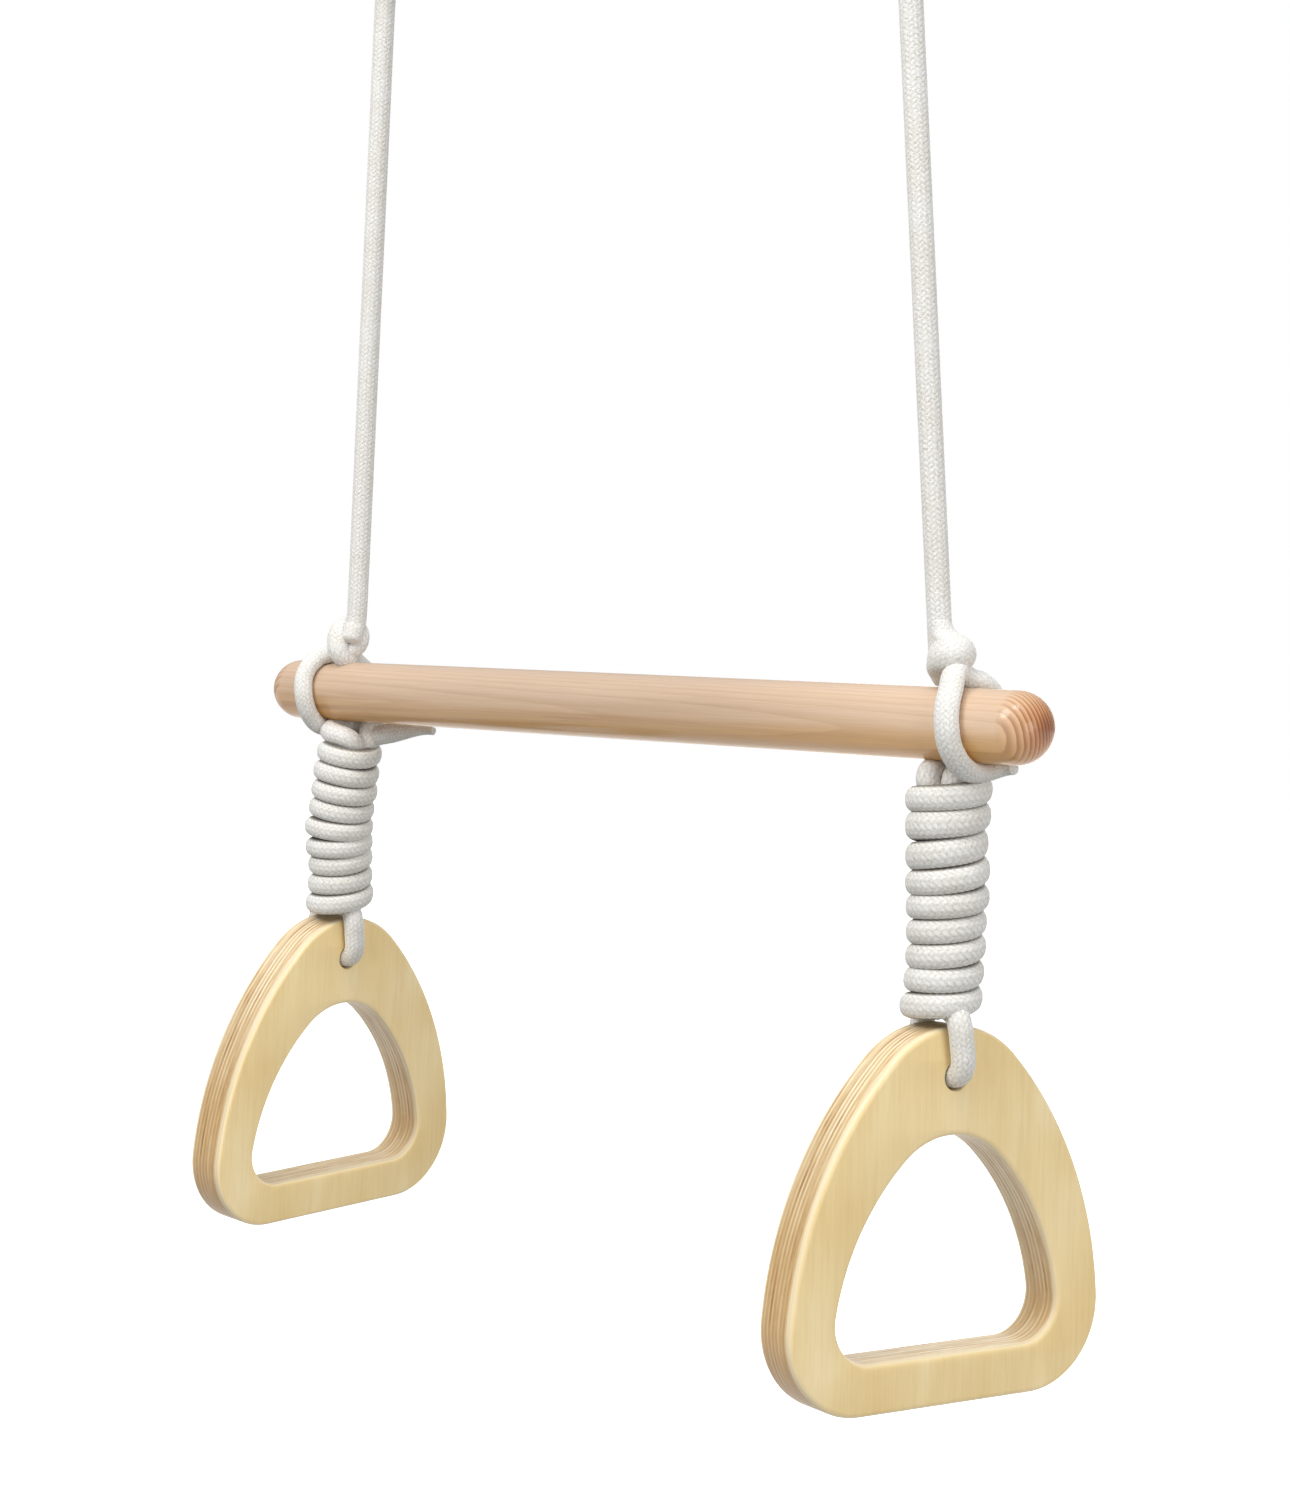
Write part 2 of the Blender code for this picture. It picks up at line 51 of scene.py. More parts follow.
# Metres and degrees. The row frame's origin is on the ceiling, midway between the two plates.
GAP = 0.0003
BAR_CENTRE = np.array((0.0, 0.0, -0.587))
BAR_LENGTH = 0.567
BAR_RADIUS = 0.0175
ROPE_RADIUS = 0.0058

# The ceiling eye, the carabiner and the rope's loop, as the CAD has them
EYE_DEPTH = 0.034
CARABINER_DROP = 0.0577
LOOP_BEND = 0.0101
LOOP_HEIGHT = 0.028
LEG_HALF_SPACING = 0.0060
WHIPPING_TOP = -0.0289
WHIPPING_LENGTH = 0.048
WHIPPING_WRAPS = 4
WHIPPING_SHIFTS = (0.0, 0.0003, -0.0002, 0.0)
WHIPPING_RADII = (0.0194, 0.0197, 0.0193, 0.0196)
WHIPPING_SQUARENESS = 2.3
COIL_WRAPS = 9

# The plywood ring, in its own frame: x across, y through the thickness, z up from the bottom edge
RING_HEIGHT = 0.180
RING_THICKNESS = 0.0252
RING_EDGE_ROUND = 0.0029
RING_APEX_RADIUS = 0.053
RING_CORNER_X = 0.0516
RING_CORNER_RADIUS = 0.042
RING_SIDE_RADIUS = 0.1875
HAND_HOLE_BOTTOM = 0.0243
HAND_HOLE_HEIGHT = 0.1037
HAND_HOLE_APEX_RADIUS = 0.0419
HAND_HOLE_CORNER_X = 0.0464
HAND_HOLE_CORNER_RADIUS = 0.0201
HAND_HOLE_SIDE_RADIUS = 0.120
ROPE_HOLE_Z = 0.156
ROPE_HOLE_RADIUS = 0.0068
RING_STEPS = 26
HAND_HOLE_STEPS = 24
SHARP_ANGLE = 35
WELD_DISTANCE = 0.00001

# The rope's plait: strands each way round, the height of their relief, and the mesh that carries it
PLAIT_STRANDS = 14
PLAIT_RELIEF = 0.00042
PLAIT_PITCH = 0.0026
STRAND_NARROWING = 1.9
STRAND_LOW = 0.45
STRAND_ROUNDING = 0.7
PLAIT_MIDDLE = 0.6
AROUND = 70
RING_STEP = 0.0006
CURVE_STEPS = 24
CAP_STEPS = 6
TIP_STEP = 0.3

# A strand pulled down on the bar is flattened to this part of its thickness
PRESSED = 0.78
HALF_PRESSED = 0.88
# Wraps that press on each other get painted shade at the contact: the plait's height lowered there so it
# is coloured dark, and where round the rope it is
CONTACT_SHADE_LEVEL = -0.5
CONTACT_SHADE_FROM = 0.80
CONTACT_SHADE_WIDTH = 0.17

# The wraps: how far the two ends turn in past the wraps, in turns, and how they do it
TUCK = 0.22
TUCK_DEPTH = 0.75
TUCK_POWER = 1.4
WRAP_STEP = RING_STEP / 0.72
EASE_POINTS = 800
EASE_WINDOW = 81
COIL_SQUARENESS = 2.35
COIL_EXTRA_RADIUS = 0.0001
COIL_EXTRA_HALF = 0.0002
COIL_CORE_RADIUS = 0.0066

# Each side's places are measured from the bar's centre, and its turns and tilts are in degrees
SIDES = {
    "right": {
        "hook_x": 0.180,
        "rope_foot": (0.2211, 0.0, 0.030),
        "rope_end": ((0.2211, 0.0, 0.030),),
        "coil_top": (0.2270, 0.0, -0.0307),
        "coil_bottom": (0.2238, 0.0012, -0.1376),
        "ring_bottom": (0.2274, -0.0061, -0.3229),
        "ring_turns": (77.0, -2.1, 2.4),
        "coil_shift": (0.0, 0.0, -0.0002, 0.0009, 0.0010, 0.0008, 0.0010, 0.0007, -0.0004),
        "coil_radii": (0.0205, 0.0202, 0.0193, 0.0202, 0.0197, 0.0188, 0.0190, 0.0186, 0.0195),
        # Painted light: how much brighter or darker this board's faces and edges are painted, for how the
        # lamps reach it
        "face_painted_light": (1.00, 0.98, 0.93),
        "edge_painted_light": (0.99, 0.97, 0.94),
        "coil_lift": (0.0037, 0.0034, 0.0014, 0.0, 0.0, 0.0, 0.0, 0.0, 0.0),
        "coil_tilt": (-1.0, 0.5),
        "bight_shift": -0.0038,
    },
    "left": {
        "hook_x": -0.180,
        "rope_foot": (-0.2155, 0.0, 0.030),
        "rope_end": ((-0.2150, 0.0, 0.0430), (-0.2148, -0.0020, 0.0370), (-0.2146, -0.0034, 0.0322)),
        "coil_top": (-0.2205, 0.0, -0.0322),
        "coil_bottom": (-0.2363, 0.0046, -0.1311),
        "ring_bottom": (-0.2534, 0.0045, -0.3155),
        "ring_turns": (93.6, 4.0, 0.3),
        "coil_shift": (0.0, -0.0013, -0.0017, -0.0026, -0.0035, -0.0030, -0.0011, -0.0005, 0.0),
        "coil_radii": (0.0187, 0.0190, 0.0194, 0.0188, 0.0202, 0.0201, 0.0190, 0.0190, 0.0201),
        # Painted light: how much brighter or darker this board's faces and edges are painted, for how the
        # lamps reach it
        "face_painted_light": (1.13, 1.11, 1.06),
        "edge_painted_light": (0.93, 0.91, 0.90),
        "coil_lift": (0.0008, 0.0008, 0.0006, 0.0008, 0.0010, 0.0014, 0.0018, 0.0016, 0.0008),
        "coil_tilt": (-8.0, -10.0, -9.0, -6.5, -7.0, -7.0, -4.0, 1.0, 4.0),
        "bight_shift": -0.0035,
    },
}

# ---- camera

CAMERA_PLACE = (0.9752, -0.9653, -0.5255)
CAMERA_YAW = -44.541
CAMERA_PITCH = -3.476
CAMERA_ROLL = 0.547
CAMERA_LENS = 71.81
SENSOR_WIDTH = 36.0

VIEW_RIGHT = np.array((cos(radians(CAMERA_YAW)), -sin(radians(CAMERA_YAW)), 0.0))
TO_CAMERA = np.array((-sin(radians(CAMERA_YAW)), -cos(radians(CAMERA_YAW)), 0.0))
UP = np.array((0.0, 0.0, 1.0))


def shown(name, data):
    """Put an object with some data in the scene."""
    obj = bpy.data.objects.new(name, data)
    bpy.context.scene.collection.objects.link(obj)
    return obj


def make_camera():
    """Place the camera level with the bar, at the right-hand end of its front."""
    yaw, pitch, roll = radians(CAMERA_YAW), radians(CAMERA_PITCH), radians(CAMERA_ROLL)
    forward = Vector((sin(yaw) * cos(pitch), cos(yaw) * cos(pitch), sin(pitch)))
    level = Vector((cos(yaw), -sin(yaw), 0.0))
    over = level.cross(forward)
    right = level * cos(roll) + over * sin(roll)
    above = -level * sin(roll) + over * cos(roll)
    data = bpy.data.cameras.new("camera")
    data.lens = CAMERA_LENS
    data.sensor_width = SENSOR_WIDTH
    data.sensor_fit = "HORIZONTAL"
    data.clip_start = 0.01
    data.clip_end = 50.0
    camera = shown("camera", data)
    turn = Matrix((right, above, -forward)).transposed().to_4x4()
    camera.matrix_world = Matrix.Translation(CAMERA_PLACE) @ turn
    bpy.context.scene.camera = camera


make_camera()

# ---- rope tools


def unit(vectors):
    """Scale vectors to length 1."""
    vectors = np.asarray(vectors, float)
    return vectors / np.linalg.norm(vectors, axis=-1, keepdims=True)


def smooth_route(points):
    """Read evenly spaced points off one smooth curve (Catmull-Rom) through the route's own points."""
    route = np.array(points, float)
    route = np.vstack((2 * route[0] - route[1], route, 2 * route[-1] - route[-2]))
    dense = []
    for before, start, end, after in zip(route, route[1:], route[2:], route[3:]):
        t = np.linspace(0.0, 1.0, CURVE_STEPS, endpoint=False)[:, None]
        dense.append(0.5 * (2 * start + (end - before) * t
                            + (2 * before - 5 * start + 4 * end - after) * t ** 2
                            + (3 * start - before - 3 * end + after) * t ** 3))
    dense.append(route[-2][None, :])
    return even(np.vstack(dense))


def even(line):
    """Space a line's points evenly."""
    along = np.concatenate(([0.0], np.cumsum(np.linalg.norm(np.diff(line, axis=0), axis=1))))
    at = np.linspace(0.0, along[-1], max(3, int(round(along[-1] / RING_STEP)) + 1))
    return np.stack([np.interp(at, along, line[:, axis]) for axis in range(3)], axis=1)


def carried_frame(line, start):
    """Carry a direction along a line without twisting it, and return it with its partner."""
    tangents = unit(np.gradient(line, axis=0))
    across = np.zeros_like(line)
    current = np.array(start, float)
    for index, tangent in enumerate(tangents):
        current = current - tangent * current.dot(tangent)
        current = current / np.linalg.norm(current)
        across[index] = current
    return across, np.cross(tangents, across)


def plait(angle, length, strands):
    """Return the height, from 0 to 1, of a two-over-two plait at an angle and a length along."""
    one = strands * angle / (2 * pi) + length / PLAIT_PITCH
    other = strands * angle / (2 * pi) - length / PLAIT_PITCH
    turn = np.mod(np.floor(one) + np.floor(other), 4)
    first = turn < 2
    beside = np.where(first, np.mod(one, 1.0), np.mod(other, 1.0)) - 0.5
    run = np.where(first, turn + np.mod(other, 1.0), turn - 2 + np.mod(one, 1.0)) / 2
    across = np.sqrt(np.clip(1 - (STRAND_NARROWING * beside) ** 2, 0.0, 1.0))
    swell = np.sin(pi * np.clip(run, 0.0, 1.0)) ** STRAND_ROUNDING
    return across * (STRAND_LOW + (1 - STRAND_LOW) * swell)


def make_piece(name, verts, faces, attribute=None):
    """Link a smooth mesh made from points and faces."""
    data = bpy.data.meshes.new(name)
    data.from_pydata([tuple(v) for v in verts], [], faces)
    data.shade_smooth()
    if attribute is not None:
        layer = data.attributes.new("plait_height_and_shade", "FLOAT", "POINT")
        layer.data.foreach_set("value", np.asarray(attribute, np.float32))
    data.update()
    return shown(name, data)


def tube_shape(line, across, beside, wide, high, power=2.0, strands=PLAIT_STRANDS, blunt=(0.6, 0.6),
               shade_contacts=0.0):
    """Return a plaited tube's points, faces and plait heights, with painted shade where wraps press
    together, and its line with both round ends.

    wide and high are its half sizes along across and beside, and a power above 2 squares its section.
    """
    count = len(line)
    wide, high = wide * np.ones(count), high * np.ones(count)
    caps = np.sin(np.linspace(0.0, pi / 2, CAP_STEPS))[1:-1]
    tangents = unit(np.gradient(line, axis=0))
    head = [line[0] - tangents[0] * wide[0] * blunt[0] * cap for cap in caps[::-1]]
    foot = [line[-1] + tangents[-1] * wide[-1] * blunt[1] * cap for cap in caps]
    shrink = np.sqrt(1 - caps ** 2)
    line = np.vstack((head, line, foot))
    size = np.concatenate((shrink[::-1], np.ones(count), shrink))
    ends = len(caps)

    def stretched(values):
        return np.concatenate((np.repeat(values[:1], ends, 0), values, np.repeat(values[-1:], ends, 0)))

    across, beside, wide, high = (stretched(v) for v in (across, beside, wide, high))
    length = np.concatenate(([0.0], np.cumsum(np.linalg.norm(np.diff(line, axis=0), axis=1))))
    angle = np.arange(AROUND) * 2 * pi / AROUND
    height = plait(angle[None, :], length[:, None], strands)
    cosine, sine = np.cos(angle), np.sin(angle)
    round_c = np.sign(cosine) * np.abs(cosine) ** (2 / power)
    round_s = np.sign(sine) * np.abs(sine) ** (2 / power)
    lift = PLAIT_RELIEF * (height - PLAIT_MIDDLE)
    out_c = (wide[:, None] * round_c + lift * cosine) * size[:, None]
    out_s = (high[:, None] * round_s + lift * sine) * size[:, None]
    verts = line[:, None, :] + out_c[..., None] * across[:, None, :]
    verts = (verts + out_s[..., None] * beside[:, None, :]).reshape(-1, 3)
    rings = len(line)
    index = np.arange(rings * AROUND).reshape(rings, AROUND)
    after = np.roll(index, -1, axis=1)
    quads = np.stack((index[:-1], after[:-1], after[1:], index[1:]), axis=-1).reshape(-1, 4).tolist()
    tip_a, tip_b = len(verts), len(verts) + 1
    start_tip = line[0] - (line[1] - line[0]) * TIP_STEP
    end_tip = line[-1] + (line[-1] - line[-2]) * TIP_STEP
    verts = np.vstack((verts, start_tip, end_tip))
    fans = [(tip_a, int(after[0, k]), int(index[0, k])) for k in range(AROUND)]
    fans += [(tip_b, int(index[-1, k]), int(after[-1, k])) for k in range(AROUND)]
    # Painted shade: where wraps press on each other, the plait height is pulled down so the cotton there
    # is coloured dark
    contact_shade = np.clip((np.abs(sine) - CONTACT_SHADE_FROM) / CONTACT_SHADE_WIDTH, 0.0, 1.0) * shade_contacts
    height = height * (1 - contact_shade[None, :]) + CONTACT_SHADE_LEVEL * contact_shade[None, :]
    heights = np.concatenate((height.reshape(-1), (0.5, 0.5)))
    return verts, quads + fans, heights, line


def rope(name, route, radius, start, flat=1.0, **shape):
    """Make a plaited rope along a route, and return it with the line of its ring centres."""
    line = smooth_route(route)
    across, beside = carried_frame(line, start)
    if np.ndim(radius):
        at = np.linspace(0.0, 1.0, len(radius))
        radius = np.interp(np.linspace(0.0, 1.0, len(line)), at, radius)
    verts, faces, heights, line = tube_shape(line, across, beside, radius, radius * flat, **shape)
    return make_piece(name, verts, faces, heights), line


def finish_rope(obj, body, *nodes):
    """Ride a rope piece on its body, and let it stand for CAD nodes."""
    if body:
        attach(obj, body)
    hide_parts(*nodes)
    obj.data.materials.append(cotton)


def winding(axis_points, bow, shifts, lifts, radii, tilt, wraps):
    """Return the line, the two cross directions and the half height of a rope wound down round an axis.

    shifts, lifts and radii are each wrap's move along bow, move up and outer radius. tilt is its lean.
    """
    steps = int(wraps * 2 * pi * np.mean(radii) / WRAP_STEP)
    t = np.linspace(-TUCK, wraps + TUCK, steps)
    held = np.clip(t, 0.0, wraps)
    top, bottom = (np.array(point, float) for point in axis_points)
    stations = np.arange(wraps) + 0.5

    def eased(values, at):
        turns = np.linspace(-1, wraps + 1, EASE_POINTS)
        padded = np.pad(np.interp(turns, stations, values), EASE_WINDOW // 2, mode="edge")
        kernel = np.hanning(EASE_WINDOW)
        return np.interp(at, turns, np.convolve(padded, kernel / kernel.sum(), mode="valid"))

    def axis(at):
        along = (bottom - top) * (at / wraps)[:, None]
        return top + along + np.outer(eased(shifts, at), bow) + np.outer(eased(lifts, at), UP)

    centre = axis(held)
    down = unit(axis(held + 0.6) - axis(held - 0.6))
    first = unit(TO_CAMERA - down * (down @ TO_CAMERA)[:, None])
    second = np.cross(down, first)
    angle = pi + 2 * pi * t
    outward = np.cos(angle)[:, None] * first + np.sin(angle)[:, None] * second
    beyond = np.clip(np.maximum(-t, t - wraps) / TUCK, 0.0, 1.0)
    reach = (eased(radii, held) - ROPE_RADIUS) * (1 - TUCK_DEPTH * beyond ** TUCK_POWER)
    line = centre + outward * reach[:, None]
    lean = np.interp(t, np.linspace(0.0, wraps, len(tilt)), tilt)
    line = line + np.outer(np.tan(np.radians(lean)) * (line - centre).dot(bow), UP)
    # The two ends turn in and lie hidden inside the wraps
    pitch = np.linalg.norm(bottom - top) / wraps
    line = line + np.outer(np.sign(t - wraps / 2) * beyond * pitch, UP)
    half = (pitch - np.gradient(eased(lifts, held), t)) / 2
    half = np.where(beyond > 0, pitch / 2, half)
    line = even(line)
    tangents = unit(np.gradient(line, axis=0))
    near = np.interp(np.linspace(0, 1, len(line)), np.linspace(0, 1, len(t)), t)
    down = np.stack([np.interp(near, t, down[:, k]) for k in range(3)], axis=1)
    beside = unit(-down + tangents * (down * tangents).sum(1)[:, None])
    across = np.cross(beside, tangents)
    return line, across, beside, np.interp(near, t, half)


# ---- materials


class Net:
    """A node tree, with a short call for each kind of node. An operand is a socket or a number."""

    def __init__(self, owner):
        self.nodes, self.links = owner.node_tree.nodes, owner.node_tree.links

    def feed(self, operand, socket):
        """Link a socket, or set a number or a colour."""
        if isinstance(operand, (int, float)):
            socket.default_value = operand
        elif isinstance(operand, tuple):
            socket.default_value = (*operand, 1.0)
        else:
            self.links.new(operand, socket)

    def place(self):
        """Return the piece's own coordinates."""
        return self.nodes.new("ShaderNodeTexCoord").outputs["Object"]

    def split(self, vector):
        """Return a vector's three parts."""
        made = self.nodes.new("ShaderNodeSeparateXYZ")
        self.links.new(vector, made.inputs[0])
        return tuple(made.outputs)

    def join(self, *parts):
        """Return a vector made from three parts."""
        made = self.nodes.new("ShaderNodeCombineXYZ")
        for part, socket in zip(parts, made.inputs):
            self.links.new(part, socket)
        return made.outputs["Vector"]

    def with_vector(self, operation, vector, other):
        """Combine a vector with a fixed one."""
        made = self.nodes.new("ShaderNodeVectorMath")
        made.operation = operation
        made.inputs[1].default_value = tuple(other)
        self.links.new(vector, made.inputs[0])
        return made.outputs["Value" if operation == "DOT_PRODUCT" else "Vector"]

    def maths(self, operation, first, second=None, clamp=False):
        """Add a maths node."""
        made = self.nodes.new("ShaderNodeMath")
        made.operation = operation
        made.use_clamp = clamp
        self.feed(first, made.inputs[0])
        if second is not None:
            self.feed(second, made.inputs[1])
        return made.outputs[0]

    def plus(self, first, second):
        """Add two operands."""
        return self.maths("ADD", first, second)

    def times(self, first, second):
        """Multiply two operands."""
        return self.maths("MULTIPLY", first, second)

    def over(self, first, second, clamp=False):
        """Divide two operands."""
        return self.maths("DIVIDE", first, second, clamp)

    def spread(self, value, width):
        """Centre a value from 0 to 1 on zero, and give it a width."""
        return self.times(self.plus(value, -0.5), width)

    def ramp(self, source, *stops):
        """Add a colour ramp. A stop is a position, with a colour or a level of grey."""
        made = self.nodes.new("ShaderNodeValToRGB")
        elements = made.color_ramp.elements
        while len(elements) < len(stops):
            elements.new(0.5)
        for element, (position, colour) in zip(elements, stops):
            element.position = position
            element.color = (*(colour if isinstance(colour, tuple) else (colour,) * 3), 1.0)
        self.links.new(source, made.inputs["Fac"])
        return made.outputs["Color"]

    def mixed(self, factor, first, second, blend="MIX"):
        """Mix two colours, each a socket or a colour."""
        made = self.nodes.new("ShaderNodeMix")
        made.data_type = "RGBA"
        made.blend_type = blend
        for name, operand in (("Factor", factor), ("A", first), ("B", second)):
            self.feed(operand, [s for s in made.inputs if s.name == name and s.enabled][0])
        return [s for s in made.outputs if s.enabled][0]

    def tinted(self, colour, tone, factor=1.0):
        """Multiply a colour by a tone."""
        return self.mixed(factor, colour, tone, "MULTIPLY")

    def noise(self, vector, scale, detail, roughness, distortion=0.0):
        """Add a noise texture. Its scale is a number, or one for each axis."""
        if isinstance(scale, tuple):
            stretched = self.nodes.new("ShaderNodeMapping")
            stretched.inputs["Scale"].default_value = scale
            self.links.new(vector, stretched.inputs["Vector"])
            vector, scale = stretched.outputs["Vector"], 1.0
        made = self.nodes.new("ShaderNodeTexNoise")
        made.inputs["Scale"].default_value = scale
        made.inputs["Detail"].default_value = detail
        made.inputs["Roughness"].default_value = roughness
        made.inputs["Distortion"].default_value = distortion
        self.links.new(vector, made.inputs["Vector"])
        return made.outputs["Fac"]

    def bump(self, shader, height, distance, strength):
        """Feed a height to the shader's normal."""
        made = self.nodes.new("ShaderNodeBump")
        made.inputs["Distance"].default_value = distance
        made.inputs["Strength"].default_value = strength
        self.links.new(height, made.inputs["Height"])
        self.links.new(made.outputs["Normal"], shader.inputs["Normal"])


def new_material(name, **inputs):
    """Make a node material with some of its shader's inputs set, and return its net and shader too."""
    made = bpy.data.materials.new(name)
    made.use_nodes = True
    shader = made.node_tree.nodes["Principled BSDF"]
    for key, value in inputs.items():
        shader.inputs[key.replace("_", " ")].default_value = value
    return made, Net(made), shader


def cotton_material():
    """Off-white plaited cotton: painted shade between the strands and where wraps press together, soft
    specks, and a fine fuzz.
    """
    made, net, shader = new_material("cotton_plait", Roughness=0.92, Specular_IOR_Level=0.25,
                                     Sheen_Weight=0.25, Sheen_Roughness=0.6)
    place = net.place()
    plait_and_shade = net.nodes.new("ShaderNodeAttribute")
    plait_and_shade.attribute_name = "plait_height_and_shade"
    height = net.over(net.plus(plait_and_shade.outputs["Fac"], -CONTACT_SHADE_LEVEL), 1.0 - CONTACT_SHADE_LEVEL)
    # Painted shade: the colour follows the plait's height, dark in the low places between strands and
    # darkest at the wraps' contacts
    colour = net.ramp(height, (0.0, (0.15, 0.135, 0.105)), (0.33, (0.34, 0.32, 0.28)),
                      (0.60, (0.70, 0.69, 0.66)), (1.0, (0.89, 0.885, 0.87)))
    patches = net.noise(place, 60.0, 3.0, 0.55)
    colour = net.tinted(colour, net.ramp(patches, (0.35, (0.93, 0.915, 0.87)), (0.65, 1.0)), 0.8)
    fuzz = net.noise(place, 1100.0, 4.0, 0.65)
    colour = net.tinted(colour, net.ramp(fuzz, (0.30, (0.60, 0.56, 0.48)), (0.48, 1.0)), 0.85)
    net.links.new(colour, shader.inputs["Base Color"])
    net.bump(shader, fuzz, 0.0005, 0.8)
    return made


def bar_material():
    """Pale pinkish wood with long growth lines, brown wisps, fine pores and a satin lacquer."""
    made, net, shader = new_material("turned_wood", Coat_Weight=0.50, Coat_Roughness=0.14)
    local = net.with_vector("SUBTRACT", net.place(), BAR_CENTRE)
    x, y, z = net.split(local)

    # Growth lines: cylinders about an axis above and behind the bar's own, bent by two waves
    core_y, core_z, core_slope, year = 0.047, 0.012, 0.012, 0.0021
    long_wave = net.noise(local, (2.2, 26.0, 26.0), 3.0, 0.5)
    short_wave = net.noise(local, (6.0, 160.0, 160.0), 2.0, 0.5)
    away = net.plus(net.plus(y, -core_y), net.times(net.plus(x, 0.1), core_slope))
    above = net.plus(z, -core_z)
    distance = net.maths("SQRT", net.plus(net.times(away, away), net.times(above, above)))
    bend = net.plus(net.spread(long_wave, 0.0022), net.spread(short_wave, 0.0006))
    phase = net.maths("FRACT", net.over(net.plus(distance, bend), year))
    lines = net.ramp(phase, (0.0, 0.0), (0.55, 0.12), (0.86, 0.75), (0.96, 1.0), (1.0, 0.0))
    colour = net.mixed(net.times(lines, 0.30), (0.735, 0.520, 0.350), (0.500, 0.285, 0.135))

    # Broad darker bands, and a more golden tone low down
    band = net.ramp(net.noise(local, (3.0, 55.0, 55.0), 2.0, 0.45), (0.50, 0.0), (0.68, 1.0))
    colour = net.mixed(net.times(band, 0.35), colour, (0.56, 0.345, 0.185))
    rise = net.times(net.plus(net.plus(z, net.spread(long_wave, 0.010)), 0.020), 40.0)
    colour = net.tinted(colour, net.ramp(
        rise, (0.34, (1.00, 0.73, 0.27)), (0.50, (0.98, 0.80, 0.43)), (0.80, (1.0, 0.99, 0.97)),
        (1.0, (0.96, 0.98, 1.02))))

    # From the left end, 0, to the right end, 1: a little darker in the middle
    run = net.plus(net.over(x, BAR_LENGTH), 0.5)
    colour = net.tinted(colour, net.ramp(
        run, (0.0, 0.86), (0.12, 0.88), (0.35, 0.80), (0.66, 0.80), (0.88, 1.0)))

    # Brown wisps low on the front, strongest at the left
    wisps = net.ramp(net.noise(local, (4.0, 110.0, 240.0), 3.0, 0.55), (0.44, 0.0), (0.62, 1.0))
    level = net.ramp(net.plus(net.over(z, 2 * BAR_RADIUS), 0.5),
                     (0.08, 0.0), (0.20, 1.0), (0.34, 1.0), (0.52, 0.0))
    reach = net.ramp(run, (0.0, 0.85), (0.45, 0.65), (0.85, 0.25))
    wisps = net.times(wisps, net.times(level, reach))
    colour = net.mixed(wisps, colour, (0.43, 0.21, 0.075))
    fibre = net.noise(local, (30.0, 1900.0, 1900.0), 3.0, 0.6)
    colour = net.tinted(colour, net.ramp(fibre, (0.30, 0.86), (0.60, 1.0)), 0.75)

    # The turned ends show end grain, darker and redder towards the tip
    tip = net.over(net.plus(net.maths("ABSOLUTE", x), BAR_RADIUS - BAR_LENGTH / 2), BAR_RADIUS, True)
    tip = net.maths("POWER", tip, 0.9)
    rings = net.ramp(phase, (0.0, 0.0), (0.30, 0.15), (0.70, 0.85), (0.92, 1.0), (1.0, 0.1))
    end_grain = net.mixed(rings, (0.70, 0.440, 0.230), (0.27, 0.090, 0.022))
    colour = net.mixed(net.maths("POWER", tip, 0.65), colour, end_grain)
    colour = net.tinted(colour, net.ramp(
        tip, (0.0, 1.0), (0.62, (1.0, 0.94, 0.88)), (0.90, (0.86, 0.62, 0.40)), (1.0, (0.55, 0.32, 0.20))))
    net.links.new(colour, shader.inputs["Base Color"])
    net.links.new(net.ramp(fibre, (0.2, 0.56), (0.8, 0.48)), shader.inputs["Roughness"])
    net.bump(shader, net.plus(net.times(lines, -0.4), fibre), 0.00012, 0.5)
    return made


